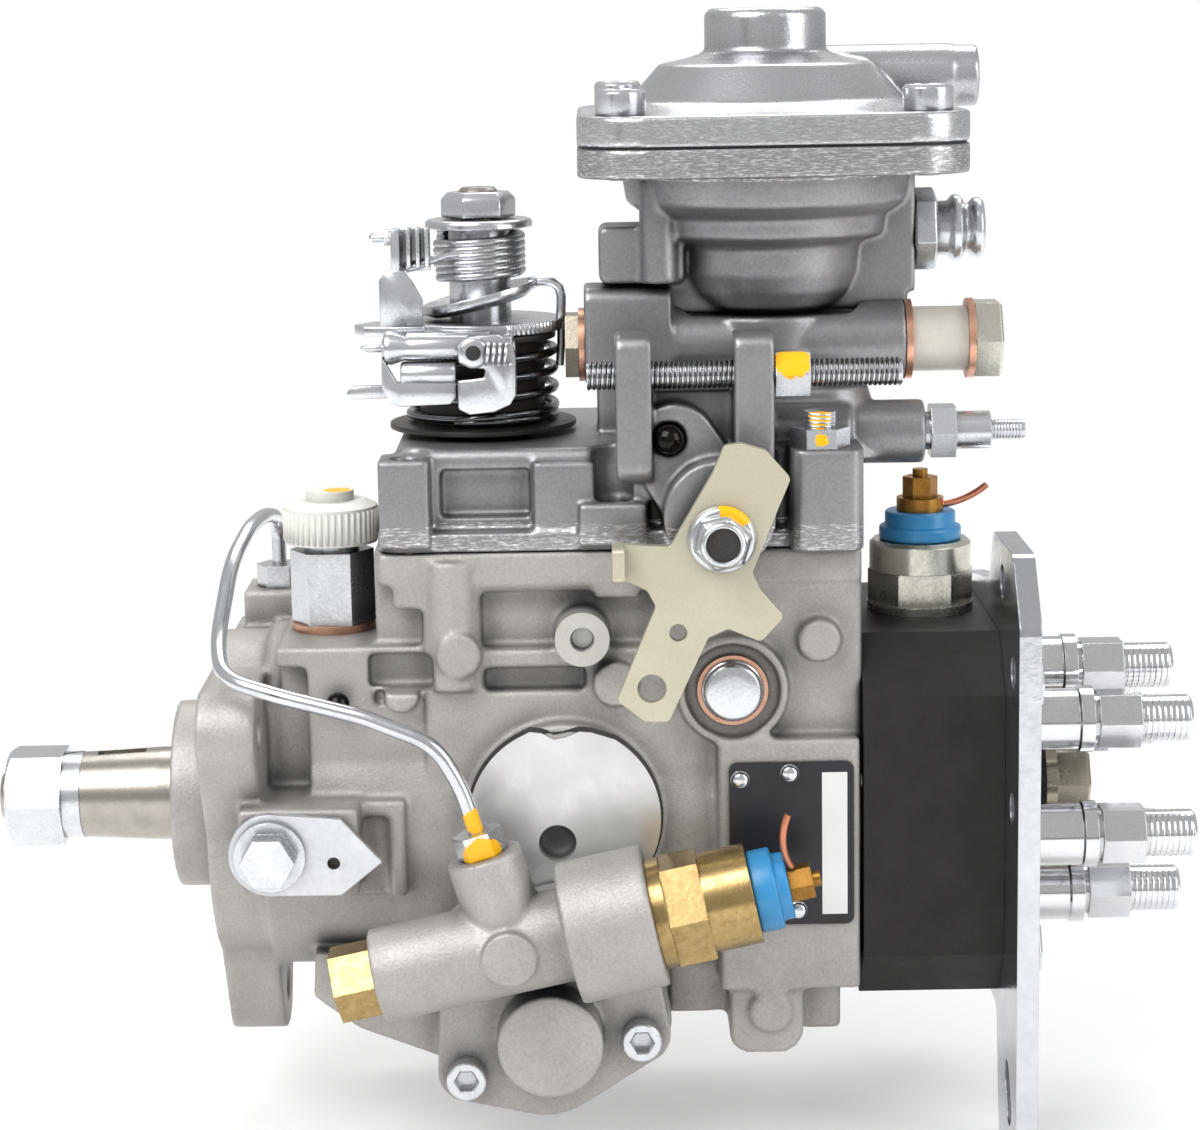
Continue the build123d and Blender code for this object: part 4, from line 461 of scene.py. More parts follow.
def cut_mesh(shape, cuts):
    """The shape's mesh without the cutting forms."""
    tools = bmesh.new()
    for cut_form in cuts:
        cut_form(tools)
    bmesh.ops.recalc_face_normals(tools, faces=tools.faces[:])
    mesh = bpy.data.meshes.new("cutters")
    tools.to_mesh(mesh)
    tools.free()
    cutters = bpy.data.objects.new("cutters", mesh)
    bpy.context.scene.collection.objects.link(cutters)
    rest = shape.modifiers.new("recesses", "BOOLEAN")
    rest.operation = "DIFFERENCE"
    rest.solver = "EXACT"
    rest.use_self = True
    rest.object = cutters
    result = bpy.data.meshes.new_from_object(shape.evaluated_get(bpy.context.evaluated_depsgraph_get()))
    shape.modifiers.remove(rest)
    bpy.data.objects.remove(cutters)
    return result


BOOST_X = 147.0
BOOST_HALF = 49.0
BOOST_CORNER = 16.0
BOOST_SPLIT = 172.0
BOOST_SCREW = 38.0
SHEET = 1.5
RIM = 6.0


def rounded_square(inset):
    half = BOOST_HALF - inset
    radius = BOOST_CORNER - inset
    outline = []
    for sx, sy, start in ((1, 1, 0), (-1, 1, 90), (-1, -1, 180), (1, -1, 270)):
        for i in range(9):
            a = math.radians(start + 90 * i / 8)
            outline.append((BOOST_X + sx * (half - radius) + radius * math.cos(a),
                            sy * (half - radius) + radius * math.sin(a)))
    return outline


def boost_webs(shape):
    """Webs that join the bowl, its lug and the vent block to the arm below, and the lower rim up to the sheet."""
    box_mm(shape, (104.0, -12.0, 128.5), (140.0, 8.0, 140.0))
    box_mm(shape, (150.0, -9.0, 128.5), (183.0, 9.0, 135.0))
    slab(shape, "z", rounded_square(0.0), BOOST_SPLIT - RIM, BOOST_SPLIT + 0.5)


def screw_bosses(shape):
    """Metal round the two near cover screws below the flange, where the housing's pockets run past them."""
    box_mm(shape, (49.5, -44.5, 58.0), (62.0, -34.0, 69.0))
    box_mm(shape, (100.5, -44.5, 60.0), (111.5, -34.0, 69.0))


def lower_body(shape):
    """The underside's steps: the wedge under the flange, the middle and the block beside the foot."""
    slab(shape, "y", [(26.0, -34.0), (25.4, -45.8), (29.7, -49.2), (37.3, -54.8), (58.0, -62.8), (58.0, -34.0)],
         -38.0, 30.0)
    box_mm(shape, (117.7, -36.0, -52.3), (134.0, 30.0, -38.0))
    box_mm(shape, (151.0, -35.0, -57.7), (163.1, 12.0, -42.0))


def inclined_disc(shape):
    """The round seat on the cold-start cylinder's front."""
    lathe(shape, "y", (78.1, -22.4), [(6.9, -74.0), (6.9, -82.9)], 40)


def housing_recesses(tools):
    """Hollow under the shelf, the slot beside the lower column, and what the foot's rounded end leaves out."""
    box_mm(tools, (42.6, -52.0, 37.0), (59.5, -37.0, 46.2))
    box_mm(tools, (44.0, -52.0, 33.0), (47.0, -40.0, 38.0))
    slab(tools, "y", [(129.0, -75.0), (152.8, -75.0), (152.8, -52.0), (152.3, -55.0), (150.8, -57.8), (148.0, -59.5),
                      (137.4, -59.5), (134.6, -57.8), (133.1, -55.0), (132.8, -52.0), (129.0, -52.0)], -60.0, 45.0)


def cover_columns(shape):
    """The near corner column and the block beside the pad, which hold the cover screws down in their bores."""
    box_mm(shape, (46.8, -46.8, 74.0), (59.5, -32.0, 96.2))
    box_mm(shape, (97.0, -46.8, 74.0), (114.0, -32.0, 84.6))


def cover_bores(tools):
    """The two bores that hold the near cover screws."""
    lathe(tools, "z", (53.6, -40.5), [(3.4, 90.0), (3.4, 99.0)], 24)
    lathe(tools, "z", (106.0, -39.0), [(3.6, 82.0), (3.6, 90.0)], 24)


def boost_rim(shape):
    """The cover's rim, down to the sheet."""
    slab(shape, "z", rounded_square(0.0), BOOST_SPLIT + 0.9, BOOST_SPLIT + RIM)


casting("pump_housing", "sand_cast", 0.85, 6, [screw_bosses, lower_body], [housing_recesses])
casting("cold_start_housing", "sand_cast", 0.6, 8, [inclined_disc])
casting("governor_cover", "die_cast", 0.7, 6, [cover_columns], [cover_bores])
casting("boost_housing", "die_cast", 0.7, 6, [boost_webs])
casting("boost_cover", "bright_cast", 0.7, 6, [boost_rim])


# Geometry nodes: a tree's own inputs are named, and are set by their identifiers

def nodes_tree(name, inputs):
    tree = bpy.data.node_groups.new(name, "GeometryNodeTree")
    for label, kind, value in inputs:
        socket = tree.interface.new_socket(label, in_out="INPUT", socket_type=kind)
        if value is not None:
            socket.default_value = value
    tree.interface.new_socket("Geometry", in_out="OUTPUT", socket_type="NodeSocketGeometry")
    return tree, tree.nodes.new("NodeGroupInput").outputs, tree.nodes.new("NodeGroupOutput").inputs


def grow(name, tree, values):
    """The mesh that a tree makes from these values."""
    maker = bpy.data.objects.new(name, bpy.data.meshes.new(name))
    bpy.context.scene.collection.objects.link(maker)
    modifier = maker.modifiers.new("grow", "NODES")
    modifier.node_group = tree
    for item in tree.interface.items_tree:
        if item.in_out == "INPUT" and item.name in values:
            modifier[item.identifier] = values[item.name]
    return plain_mesh(maker, name)


def thread_tree():
    """A round-topped ridge wound on a rod: Start is the first turn's centre, Turn sets the rod's way from +Z."""
    tree, given, out = nodes_tree("screw_thread", [
        ("Start", "NodeSocketVector", (0, 0, 0)), ("Turn", "NodeSocketVector", (0, 0, 0)),
        ("Radius", "NodeSocketFloat", 0.003), ("Length", "NodeSocketFloat", 0.01), ("Pitch", "NodeSocketFloat", 0.001),
        ("Material", "NodeSocketMaterial", None)])
    turns = add(tree, "ShaderNodeMath", {"operation": "DIVIDE"}, {0: given["Length"], 1: given["Pitch"]}).outputs[0]
    helix = add(tree, "GeometryNodeCurveSpiral", inputs={"Resolution": 24, "Rotations": turns,
                                                        "Start Radius": given["Radius"], "End Radius": given["Radius"],
                                                        "Height": given["Length"]}).outputs["Curve"]
    half = add(tree, "ShaderNodeMath", {"operation": "MULTIPLY"}, {0: given["Pitch"], 1: 0.36}).outputs[0]
    ridge = add(tree, "GeometryNodeCurvePrimitiveCircle", inputs={"Resolution": 6, "Radius": half}).outputs["Curve"]
    solid = add(tree, "GeometryNodeCurveToMesh", inputs={"Curve": helix, "Profile Curve": ridge, "Fill Caps": True})
    moved = add(tree, "GeometryNodeTransform", inputs={"Geometry": solid.outputs["Mesh"], "Translation": given["Start"],
                                                      "Rotation": given["Turn"]})
    plain = add(tree, "GeometryNodeRealizeInstances", inputs={"Geometry": moved.outputs[0]})
    painted = add(tree, "GeometryNodeSetMaterial", inputs={"Geometry": plain.outputs[0], "Material": given["Material"]})
    tree.links.new(painted.outputs[0], out[0])
    return tree


def rib_tree():
    """Upright ribs round a cap: Centre is the foot of the ring."""
    tree, given, out = nodes_tree("knurl_ribs", [
        ("Centre", "NodeSocketVector", (0, 0, 0)), ("Radius", "NodeSocketFloat", 0.012),
        ("Height", "NodeSocketFloat", 0.008), ("Count", "NodeSocketInt", 40), ("Rib", "NodeSocketFloat", 0.0007),
        ("Material", "NodeSocketMaterial", None)])
    circle = add(tree, "GeometryNodeMeshCircle", inputs={"Vertices": given["Count"], "Radius": given["Radius"]})
    rib = add(tree, "GeometryNodeMeshCylinder",
              inputs={"Vertices": 8, "Radius": given["Rib"], "Depth": given["Height"]})
    spread = add(tree, "GeometryNodeInstanceOnPoints", inputs={"Points": circle.outputs[0], "Instance": rib.outputs[0]})
    moved = add(tree, "GeometryNodeTransform", inputs={"Geometry": spread.outputs[0], "Translation": given["Centre"]})
    plain = add(tree, "GeometryNodeRealizeInstances", inputs={"Geometry": moved.outputs[0]})
    painted = add(tree, "GeometryNodeSetMaterial", inputs={"Geometry": plain.outputs[0], "Material": given["Material"]})
    tree.links.new(painted.outputs[0], out[0])
    return tree


THREAD = thread_tree()
ALONG_X = (0.0, math.radians(90.0), 0.0)
OUTLETS = 6
OUTLET_FIRST = 15
OUTLET_CIRCLE = 30.0


def thread(name, node, finish, start, turn, radius, length, pitch):
    mesh = grow(name, THREAD, {"Start": [v * MM for v in start], "Turn": turn, "Radius": radius * MM,
                               "Length": length * MM, "Pitch": pitch * MM, "Material": FINISH[finish]})
    mesh.shade_smooth()
    return mesh_piece(name, mesh, finish, node)


# The speed screw's thread uses the dark-painted wire finish: its darkness is painted shade between the ridges and
# painted dark reflection.
thread("speed_screw_thread", "adjusting_screws", "wire_painted_dark", (100.0, -44.0, 116.5), ALONG_X, 3.15, 77.5, 1.25)
thread("stud_thread", "adjusting_screws", "zinc", (157.5, -45.0, 103.2), (0, 0, 0), 3.85, 3.4, 1.0)
thread("full_load_thread", "adjusting_screws", "zinc", (203.3, -20.0, 98.0), ALONG_X, 2.3, 8.0, 0.8)
for number in range(OUTLETS):
    angle = math.radians(OUTLET_FIRST + 360 / OUTLETS * number)
    place = (243.6, OUTLET_CIRCLE * math.cos(angle), OUTLET_CIRCLE * math.sin(angle))
    thread(f"outlet_thread_{number + 1}", "outlet_holders", "nickel", place, ALONG_X, 5.65, 11.2, 1.5)

ribs = grow("cap_ribs", rib_tree(), {"Centre": (0.032, -0.015, 0.0758), "Radius": 0.0120, "Height": 0.0080, "Count": 44,
                                     "Rib": 0.00055, "Material": FINISH["ivory"]})
ribs.shade_smooth()
mesh_piece("cap_ribs", ribs, "ivory", "inlet_cap")


# Throttle lever: bright bent sheet on a black drum, with its springs and nut

SPINDLE = (72.0, -4.0)
DRUM_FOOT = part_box("throttle_lever")[0][2] / MM
HOOK_EYE = (71.1, 122.0)


def make_drum():
    """Base disc, drum and the drum's rim."""
    shape = bmesh.new()
    lathe(shape, "z", SPINDLE, [(5.2, DRUM_FOOT), (24.4, DRUM_FOOT), (24.4, DRUM_FOOT + 1.4), (16.4, DRUM_FOOT + 1.8),
                                (16.4, 121.8), (19.4, 122.4), (19.4, 124.2), (5.2, 124.2)], 96, hollow=True)
    finish_piece("throttle_drum", shape, "black_zinc", "throttle_lever", replaces=["throttle_lever"])


def tilted_washer(shape, radius, thick, z, tilt, dish):
    """The upper plate: dished, and lying at a slant on the lower one."""
    slope = math.tan(math.radians(tilt))
    rings = []
    profile = ((5.3, 0.0), (radius - 3.0, 0.0), (radius, dish), (radius, dish + thick), (radius - 3.4, thick),
               (5.3, thick))
    for r, rise in profile:
        ring = []
        for i in range(64):
            a = 2 * math.pi * i / 64
            x = r * math.cos(a)
            spot = (SPINDLE[0] + x, SPINDLE[1] + r * math.sin(a), z + rise + x * slope)
            ring.append(shape.verts.new([v * MM for v in spot]))
        rings.append(ring)
    for one, two in zip(rings, rings[1:] + rings[:1]):
        for i in range(64):
            k = (i + 1) % 64
            shape.faces.new((one[i], one[k], two[k], two[i]))


def make_lever_sheets():
    """Lower plate with its toothed edge and long arm, tilted upper plate and the wire that hooks the two together."""
    shape = bmesh.new()
    rim = []
    for i in range(180):
        a = math.radians(2 * i)
        toothed = 290 < 2 * i < 335
        r = 21.4 - (0.5 if toothed and i % 2 else 0.0)
        rim.append((SPINDLE[0] + r * math.cos(a), SPINDLE[1] + r * math.sin(a)))
    slab(shape, "z", rim, 124.6, 127.4)
    slab(shape, "z", [(39.6, -13.0), (42.5, -20.0), (58.0, -22.0), (66.0, -12.0), (56.0, -4.0), (44.0, -6.0)],
         124.8, 127.2)
    lathe(shape, "z", SPINDLE, [(5.3, 127.0), (8.0, 127.0), (8.0, 151.0), (5.3, 151.0)], 40, hollow=True)
    finish_piece("throttle_lower_sheet", shape, "zinc", "throttle_lever")
    shape = bmesh.new()
    tilted_washer(shape, 15.2, 2.2, 130.6, 13.0, 1.6)
    wire(shape, [(84.5, -6.0, 136.6), (88.0, -6.0, 137.0), (91.0, -6.0, 136.6), (92.6, -6.0, 135.2),
                 (93.1, -6.0, 133.0), (93.0, -6.0, 130.0), (92.8, -6.0, 126.5)], 1.25)
    wire(shape, [(93.0, -6.0, 127.0), (92.9, -6.2, 121.0), (92.4, -7.0, 115.0)], 1.1)
    finish_piece("throttle_upper_sheet", shape, "zinc", "throttle_lever")


def make_lever_clip():
    """The folded clip on the left: base, post and channel, with a small screw and the upper spring's leg."""
    shape = bmesh.new()
    slab(shape, "y", [(46.8, 126.6), (57.8, 126.6), (57.8, 134.0), (55.4, 138.5), (53.0, 141.6), (48.6, 141.4),
                      (46.8, 139.0)], -20.5, -18.6)
    box_mm(shape, (50.0, -20.3, 140.6), (52.2, -14.2, 152.0))
    box_mm(shape, (52.0, -15.2, 141.0), (59.8, -13.8, 152.0))
    for x in (53.9, 56.3, 58.6):
        box_mm(shape, (x, -20.0, 142.2), (x + 1.1, -14.6, 152.2))
    box_mm(shape, (52.6, -20.2, 127.0), (57.2, -12.0, 131.5))
    lathe(shape, "x", (-17.5, 149.8), [(0.6, 44.4), (1.2, 45.4), (1.2, 52.0)], 20)
    lathe(shape, "x", (-17.5, 149.8), [(2.3, 48.2), (2.3, 50.2)], 6)
    wire(shape, [(53.5, -17.4, 141.6), (57.0, -17.0, 142.4), (60.5, -16.0, 143.8), (64.0, -14.6, 144.8),
                 (68.0, -14.0, 145.2)], 1.0)
    finish_piece("throttle_clip", shape, "zinc", "throttle_lever", bevel_mm=0.3)


def make_lever_bracket():
    """The hanging bracket: two rolled barrels, pointed screw, flat pin, and the bent hook with its eye."""
    shape = bmesh.new()
    box_mm(shape, (54.0, -31.0, 124.2), (75.0, -14.0, 126.6))
    lathe(shape, "x", (-30.0, 122.9), [(2.0, 47.8), (4.2, 48.6), (4.4, 50.0), (3.2, 53.6), (3.3, 55.0), (3.3, 69.5)],
          40)
    lathe(shape, "x", (-30.0, 122.9), [(0.3, 42.2), (1.1, 44.4), (1.1, 49.0)], 20)
    lathe(shape, "x", (-30.2, 116.2), [(2.9, 52.4), (3.2, 53.2), (3.2, 66.4)], 40)
    slab(shape, "y", [(49.6, 109.2), (52.4, 108.2), (64.8, 108.6), (66.4, 110.4), (66.4, 114.0), (51.4, 114.4),
                      (49.4, 118.0), (47.8, 121.0), (47.6, 113.0)], -33.2, -30.4)
    slab(shape, "y", [(38.4, 111.6), (40.0, 110.2), (51.0, 110.4), (51.0, 113.6), (40.0, 113.4)], -32.4, -29.8)
    finish_piece("throttle_bracket", shape, "zinc", "throttle_lever", bevel_mm=0.4)
    shape = bmesh.new()
    hook = [(67.0, 107.6), (69.8, 106.2), (76.0, 106.8), (80.2, 108.6), (81.6, 111.0), (81.8, 120.6), (80.8, 124.4),
            (77.4, 126.4), (72.0, 126.2), (68.6, 124.8), (67.0, 122.0), (67.4, 119.4), (70.0, 118.0), (74.0, 117.8),
            (73.6, 115.6), (67.0, 115.0)]
    slab(shape, "y", hook, -36.4, -33.6)
    lathe(shape, "y", HOOK_EYE, [(2.0, -37.4), (3.6, -37.2), (4.0, -36.4), (4.0, -33.0)], 32)
    box_mm(shape, (78.6, -34.2, 110.0), (81.6, -26.0, 124.0))
    box_mm(shape, (74.0, -34.0, 122.4), (81.0, -22.0, 125.6))
    finish_piece("throttle_hook", shape, "zinc", "throttle_lever", bevel_mm=0.6)
    shape = bmesh.new()
    lathe(shape, "y", HOOK_EYE, [(1.9, -37.6), (1.9, -37.0)], 24)
    finish_piece("throttle_eye", shape, "rubber", "throttle_lever", bevel_mm=0.05)
    thread("throttle_screw_thread", "throttle_lever", "zinc", (74.4, -37.0, 121.6), ALONG_X, 2.6, 6.0, 1.5)


def make_throttle_springs():
    """Five open turns round the drum, and three flat turns under the nut."""
    shape = bmesh.new()
    wire(shape, arc_points(SPINDLE, 19.0, 250.0, 610.0, 60, (DRUM_FOOT + 3.0, DRUM_FOOT + 3.9))
         + arc_points(SPINDLE, 19.0, 616.0, 1930.0, 220, (DRUM_FOOT + 4.0, 120.9)), 1.15)
    finish_piece("throttle_return_spring", shape, "wire_painted_dark", "throttle_springs", replaces=["throttle_springs"],
                 bevel_mm=0.01)
    shape = bmesh.new()
    turns = arc_points(SPINDLE, 10.9, 200.0, 1240.0, 190, (139.4, 149.4))
    flat = [[(spot[0], spot[1], spot[2] + lift) for spot in turns] for lift in (-0.9, 0.9)]
    for line in flat:
        wire(shape, line, 1.15)
    finish_piece("throttle_torsion_spring", shape, "wire", "throttle_springs", bevel_mm=0.01)


def make_throttle_nut():
    """Top nut on its broad washer."""
    shape = bmesh.new()
    lathe(shape, "z", SPINDLE, [(5.1, 151.0), (13.6, 151.0), (13.9, 151.4), (13.9, 152.8), (13.2, 153.4), (5.1, 153.4)],
          64, hollow=True)
    lathe(shape, "z", SPINDLE, [(8.6, 153.5), (9.8, 154.1), (9.8, 158.6), (8.0, 160.4), (5.1, 160.4)],
          6, math.radians(8), hollow=True)
    finish_piece("throttle_top_nut", shape, "zinc", "throttle_nut", replaces=["throttle_nut"], bevel_mm=0.4)


# Smaller pieces: where their axes lie, by the two coordinates across each

STOP_AXIS = (132.0, 78.0)
PLUG_AXIS = (135.0, 36.5)
VENT_AXIS = (0.0, 148.5)
RIVETS = ((136.5, 14.0), (149.0, 15.5), (151.0, -20.5))
BALLS = (("cover_ball", "governor_cover", (119.7, -46.7, 100.7), 3.85),
         ("housing_ball", "pump_housing", (35.0, -46.0, 34.4), 3.0))


def make_diaphragm():
    """The rubber sheet shows as a thin dark line between the two rims."""
    shape = bmesh.new()
    slab(shape, "z", rounded_square(0.8), BOOST_SPLIT + 0.05, BOOST_SPLIT + SHEET - 0.05)
    finish_piece("boost_membrane", shape, "rubber", "boost_diaphragm", replaces=["boost_diaphragm"], bevel_mm=0.05)


def make_boost_screws():
    """Larger heads round the four screws of the boost cover, with their sockets left open."""
    shape = bmesh.new()
    foot = BOOST_SPLIT + 8.6
    for sx in (-1, 1):
        for sy in (-1, 1):
            lathe(shape, "z", (BOOST_X + BOOST_SCREW * sx, BOOST_SCREW * sy),
                  [(5.2, foot), (6.3, foot), (6.3, foot + 5.4), (5.6, foot + 6.3), (5.2, foot + 6.3)], 40, hollow=True)
    finish_piece("boost_screw_heads", shape, "zinc", "m6_screws", bevel_mm=0.05)


def make_insulators():
    """Rounded blue washers under each terminal, in place of the plain stepped ones."""
    maker = bpy.data.objects.new("insulator_blank", NODES["terminal_insulators"].data.copy())
    bpy.context.scene.collection.objects.link(maker)
    merged = bmesh.new()
    merged.from_mesh(maker.data)
    bmesh.ops.remove_doubles(merged, verts=merged.verts, dist=WELD)
    bmesh.ops.dissolve_limit(merged, angle_limit=math.radians(1.0), verts=merged.verts, edges=merged.edges)
    merged.to_mesh(maker.data)
    merged.free()
    bevel = maker.modifiers.new("moulded_edges", "BEVEL")
    bevel.width = 1.3 * MM
    bevel.segments = 4
    bevel.limit_method = "ANGLE"
    bevel.angle_limit = math.radians(40)
    mesh = plain_mesh(maker, "blue_insulators")
    mesh.shade_smooth()
    mesh.set_sharp_from_angle(angle=math.radians(50))
    mesh_piece("blue_insulators", mesh, "blue", "terminal_insulators", replaces=["terminal_insulators"])


def make_stop_nut():
    """Flanged nut, with the dark end of the shaft inside it."""
    shape = bmesh.new()
    lathe(shape, "y", STOP_AXIS, [(5.1, -63.0), (8.3, -63.0), (8.6, -63.6), (8.0, -64.8), (7.4, -65.2), (5.1, -65.2)],
          48, hollow=True)
    lathe(shape, "y", STOP_AXIS, [(5.1, -65.0), (7.4, -65.0), (7.4, -69.6), (6.0, -71.0), (5.1, -71.0)],
          6, math.radians(14), hollow=True)
    lathe(shape, "y", STOP_AXIS, [(4.2, -70.6), (5.6, -70.6), (5.6, -71.4), (4.8, -71.9), (4.2, -71.9)],
          40, hollow=True)
    finish_piece("stop_flange_nut", shape, "stop_nut", "stop_nut", replaces=["stop_nut"], bevel_mm=0.3)


def make_balls():
    """Black bearing balls that close two drillings."""
    for name, node, (x, y, z), radius in BALLS:
        shape = bmesh.new()
        steps = [math.radians(-90 + 180 * i / 20) for i in range(1, 20)]
        lathe(shape, "y", (x, z), [(radius * math.cos(a), y + radius * math.sin(a)) for a in steps], 32)
        finish_piece(name, shape, "ball", node, bevel_mm=0.01)


def make_rivets():
    """Domed rivets that hold the name plate."""
    shape = bmesh.new()
    for axis in RIVETS:
        lathe(shape, "y", axis, [(2.5, -50.4), (2.5, -51.1), (2.0, -51.8), (1.2, -52.2), (0.3, -52.3)], 32)
    finish_piece("nameplate_rivets", shape, "zinc", "nameplate", bevel_mm=0.05)


def make_vent():
    """Vent fitting: hexagon and a hose end with two rounded beads."""
    shape = bmesh.new()
    lathe(shape, "x", VENT_AXIS, [(3.9, 173.0), (3.9, 186.0)], 32)
    lathe(shape, "x", VENT_AXIS, [(10.0, 185.0), (10.9, 185.6), (10.9, 190.4), (10.0, 191.0)], 6, math.radians(16))
    lathe(shape, "x", VENT_AXIS, [(2.4, 190.0), (7.0, 190.5), (7.2, 194.2), (8.6, 195.4), (8.8, 196.2), (8.6, 197.2),
                                  (7.4, 198.2), (6.3, 198.7), (6.4, 199.6), (7.6, 200.6), (7.9, 201.4), (7.9, 202.6),
                                  (7.0, 203.5), (2.4, 203.5)], 48, hollow=True)
    finish_piece("vent_hose_end", shape, "zinc", "vent_fitting", replaces=["vent_fitting"], bevel_mm=0.2)


def make_recessed_plug():
    """Domed bright plug on its copper washer."""
    shape = bmesh.new()
    lathe(shape, "y", PLUG_AXIS, [(5.0, -47.4), (7.9, -47.4), (7.9, -48.2), (7.3, -48.6), (7.3, -50.2), (6.6, -50.9),
                                  (4.0, -51.1), (0.5, -51.15)], 64)
    finish_piece("recessed_plug", shape, "zinc", "inspection_plug", replaces=["inspection_plug"], bevel_mm=0.15)


make_diaphragm()
make_insulators()
make_stop_nut()
make_balls()
make_rivets()
make_vent()
make_recessed_plug()
make_boost_screws()
make_drum()
make_lever_sheets()
make_lever_clip()
make_lever_bracket()
make_throttle_springs()
make_throttle_nut()


# Thin machined and printed faces, and a painted shadow ring round the milled disc

def skin(name, outline, y_mm, thick_mm, finish, node, holes=()):
    """A flat face towards the stop lever's side, cut to an outline of X and Z in millimetres."""
    shape = bmesh.new()
    rings = [outline, *holes]
    edges = []
    for ring in rings:
        spots = [shape.verts.new((x * MM, y_mm * MM, z * MM)) for x, z in ring]
        edges += [shape.edges.new((spots[i], spots[(i + 1) % len(spots)])) for i in range(len(spots))]
    bmesh.ops.triangle_fill(shape, use_beauty=True, use_dissolve=False, edges=edges, normal=(0, -1, 0))
    for face in shape.faces:
        if face.normal.y > 0:
            face.normal_flip()
    thick = bmesh.ops.extrude_face_region(shape, geom=shape.faces[:], use_keep_orig=True)
    for vert in thick["geom"]:
        if isinstance(vert, bmesh.types.BMVert):
            vert.co.y -= thick_mm * MM
    bmesh.ops.recalc_face_normals(shape, faces=shape.faces[:])
    mesh = bpy.data.meshes.new(name)
    shape.to_mesh(mesh)
    shape.free()
    return mesh_piece(name, mesh, finish, node)


def circle(x, z, radius, count=48, start=0.0, end=360.0):
    steps = [math.radians(start + (end - start) * i / count) for i in range(count)]
    return [(x + radius * math.cos(a), z + radius * math.sin(a)) for a in steps]


BOSS = (97.2, 51.0)
DISC_X = 92.0
NOTCH = (118.0, 422.0)
disc = circle(DISC_X, 4.0, 24.4, 80, *NOTCH)
dip = [(99.0, 26.6), (96.0, 26.9), (92.5, 25.4), (89.5, 24.9), (86.5, 26.6), (83.5, 27.0)]
skin("milled_face", disc + dip, -49.0, 0.25, "milled", "pump_housing", holes=[circle(90.0, -2.2, 4.8)])
# A near-black ring round the milled disc's edge, widest along its top and lying just behind the disc: painted shadow
# where the casting meets the milled face.
shadow_ring = circle(DISC_X, 4.6, 25.0, 80, *NOTCH) + [(x, z + 1.3) for x, z in dip]
skin("painted_shadow_ring", shadow_ring, -48.9, 0.25, "black_zinc", "pump_housing", holes=[circle(DISC_X, 3.4, 23.6)])
skin("boss_face", circle(*BOSS, 6.9), -51.15, 0.12, "faced", "pump_housing", holes=[circle(*BOSS, 3.1)])
skin("boss_hole", circle(*BOSS, 3.3), -48.0, 0.12, "faced", "pump_housing")
skin("label_strip", [(157.2, 15.6), (163.6, 15.6), (163.6, -21.6), (157.2, -21.6)], -50.8, 0.12, "label", "nameplate")


# Stage, light and camera

def aim(obj, target):
    obj.rotation_euler = (Vector(target) - obj.location).to_track_quat("-Z", "Y").to_euler()


def make_stage():
    """White paper floor, half a millimetre under the pump."""
    low = CAD_BOX[0][2] - 0.5 * MM
    mesh = bpy.data.meshes.new("studio_floor")
    mesh.from_pydata([(-3, -3, low), (3, -3, low), (3, 3, low), (-3, 3, low)], [], [(0, 1, 2, 3)])
    floor = bpy.data.objects.new("studio_floor", mesh)
    bpy.context.scene.collection.objects.link(floor)
    material = bpy.data.materials.new("white_paper_floor")
    material.use_nodes = True
    tree = material.node_tree
    shader = tree.nodes["Principled BSDF"]
    shader.inputs["Base Color"].default_value = linear("F6F6F6")
    shader.inputs["Roughness"].default_value = 0.9
    # The paper runs out into the white of the studio a hand's breadth away from the pump.
    place = add(tree, "ShaderNodeTexCoord").outputs["Object"]
    away = add(tree, "ShaderNodeVectorMath", {"operation": "DISTANCE"},
               {0: place, 1: (0.1, -0.02, low)}).outputs["Value"]
    fade = add(tree, "ShaderNodeMapRange", {"interpolation_type": "SMOOTHSTEP"},
               {"Value": away, "From Min": 0.1, "From Max": 0.32, "To Min": 0.35}).outputs["Result"]
    white = add(tree, "ShaderNodeEmission", inputs={"Color": (1, 1, 1, 1), "Strength": 1.0}).outputs[0]
    seen = add(tree, "ShaderNodeLightPath").outputs["Is Camera Ray"]
    share = add(tree, "ShaderNodeMath", {"operation": "MULTIPLY"}, {0: fade, 1: seen}).outputs[0]
    mixed = add(tree, "ShaderNodeMixShader", inputs={0: share, 1: shader.outputs[0], 2: white})
    tree.links.new(mixed.outputs[0], tree.nodes["Material Output"].inputs["Surface"])
    mesh.materials.append(material)


def make_world():
    """Even light from all round, dimmer than the white that the camera sees."""
    world = bpy.data.worlds.new("studio")
    bpy.context.scene.world = world
    world.use_nodes = True
    tree = world.node_tree
    back = tree.nodes["Background"]
    rays = add(tree, "ShaderNodeLightPath").outputs
    seen = add(tree, "ShaderNodeMath", {"operation": "MAXIMUM"},
               {0: rays["Is Camera Ray"], 1: rays["Is Transmission Ray"]})
    strength = add(tree, "ShaderNodeMapRange", inputs={"Value": seen.outputs[0], "To Min": 0.55, "To Max": 1.0})
    tree.links.new(strength.outputs["Result"], back.inputs["Strength"])
    back.inputs["Color"].default_value = (1, 1, 1, 1)


def area_light(name, place, size, watts):
    data = bpy.data.lights.new(name, "AREA")
    data.shape = "RECTANGLE"
    data.size, data.size_y = size
    data.energy = watts
    lamp = bpy.data.objects.new(name, data)
    lamp.location = place
    bpy.context.scene.collection.objects.link(lamp)
    aim(lamp, (0.1, 0, 0.06))


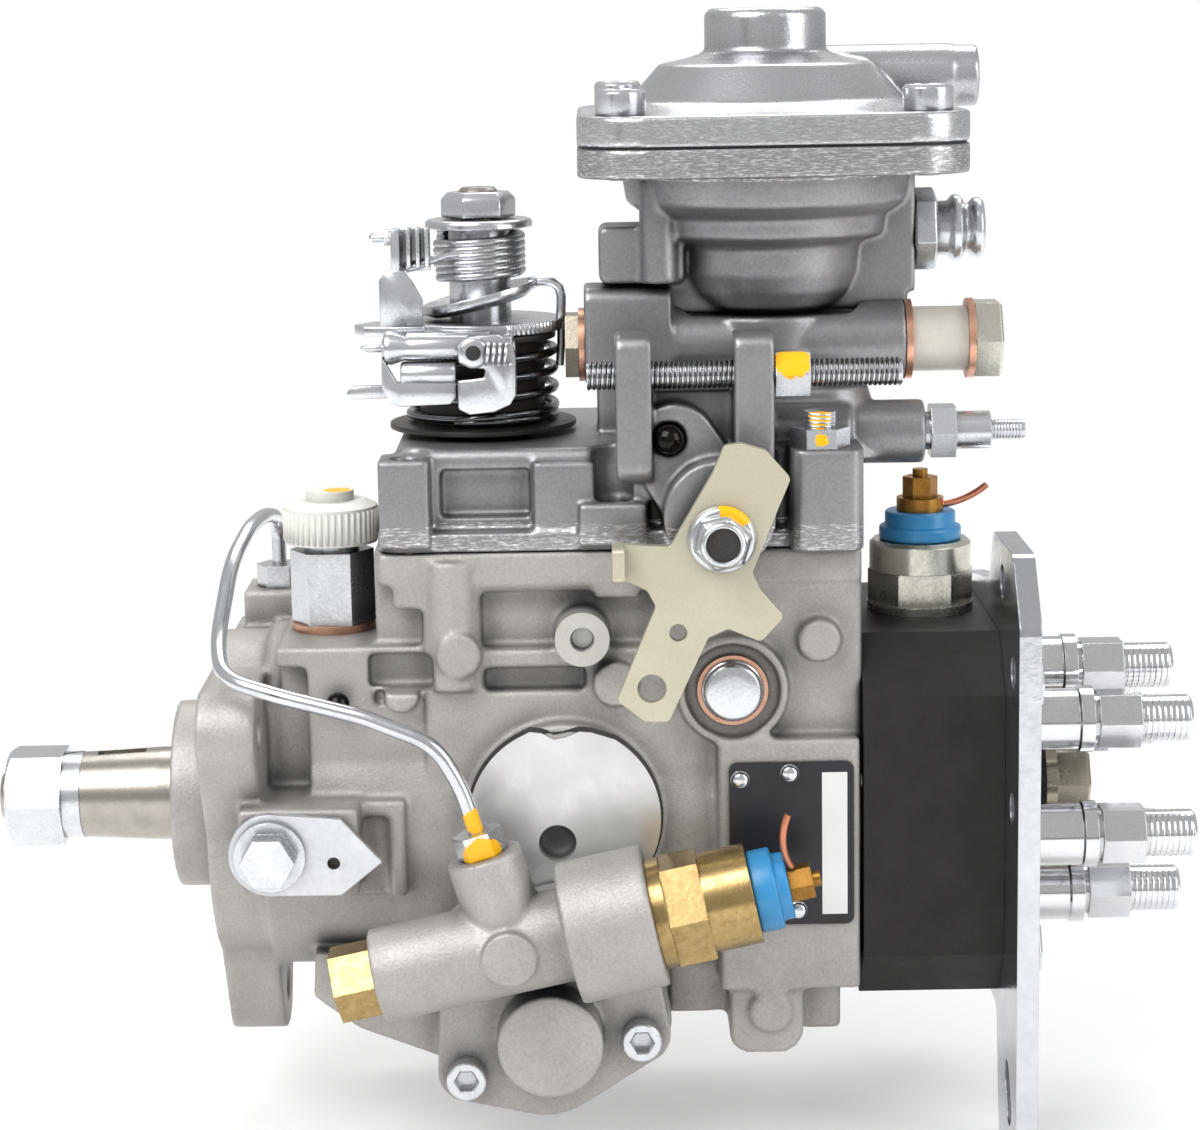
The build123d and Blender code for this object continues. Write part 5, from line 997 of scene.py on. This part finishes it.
def make_flag(name, corners):
    """A black card out of the picture, which gives the plated parts their dark reflections."""
    mesh = bpy.data.meshes.new(name)
    mesh.from_pydata(corners, [], [(0, 1, 2, 3)])
    card = bpy.data.objects.new(name, mesh)
    bpy.context.scene.collection.objects.link(card)
    material = bpy.data.materials.new("black_card")
    material.use_nodes = True
    shader = material.node_tree.nodes["Principled BSDF"]
    shader.inputs["Base Color"].default_value = linear("101010")
    shader.inputs["Roughness"].default_value = 0.9
    mesh.materials.append(material)
    card.visible_camera = False


CAMERA_TILT = math.radians(10.5)
CAMERA_ROLL = math.radians(1.0)
CAMERA_FAR = 0.806
TARGET = Vector((0.102, 0.0, 0.0605))


def make_camera():
    """Long lens, a little above and a little rolled, as in the photo."""
    data = bpy.data.cameras.new("camera")
    data.sensor_width = 36.0
    data.lens = 90.66
    data.clip_start = 0.01
    camera = bpy.data.objects.new("camera", data)
    bpy.context.scene.collection.objects.link(camera)
    ahead = Vector((0, math.cos(CAMERA_TILT), -math.sin(CAMERA_TILT)))
    above = Vector((0, math.sin(CAMERA_TILT), math.cos(CAMERA_TILT)))
    side = Vector((1, 0, 0))
    turn = Matrix((side, above, -ahead)).transposed() @ Matrix.Rotation(-CAMERA_ROLL, 3, "Z")
    camera.matrix_world = Matrix.Translation(TARGET - ahead * CAMERA_FAR) @ turn.to_4x4()
    bpy.context.scene.camera = camera


make_stage()
make_world()
make_flag("flag_left", [(-0.75, -0.9, -0.08), (-0.55, -1.0, -0.08), (-0.55, -1.0, 0.5), (-0.75, -0.9, 0.5)])
make_flag("flag_right", [(0.75, -1.0, -0.08), (0.95, -0.9, -0.08), (0.95, -0.9, 0.5), (0.75, -1.0, 0.5)])
make_flag("flag_low", [(-0.5, -1.1, -0.08), (0.7, -1.1, -0.08), (0.7, -1.1, 0.0), (-0.5, -1.1, 0.0)])
area_light("key_above_left", (-0.45, -0.7, 1.0), (0.9, 0.9), 16.0)
area_light("fill_right", (1.1, -0.6, 0.5), (0.7, 1.0), 7.0)
area_light("top_back", (0.2, 0.7, 1.1), (1.0, 0.6), 9.0)
make_camera()
bpy.context.scene.view_settings.view_transform = "Standard"
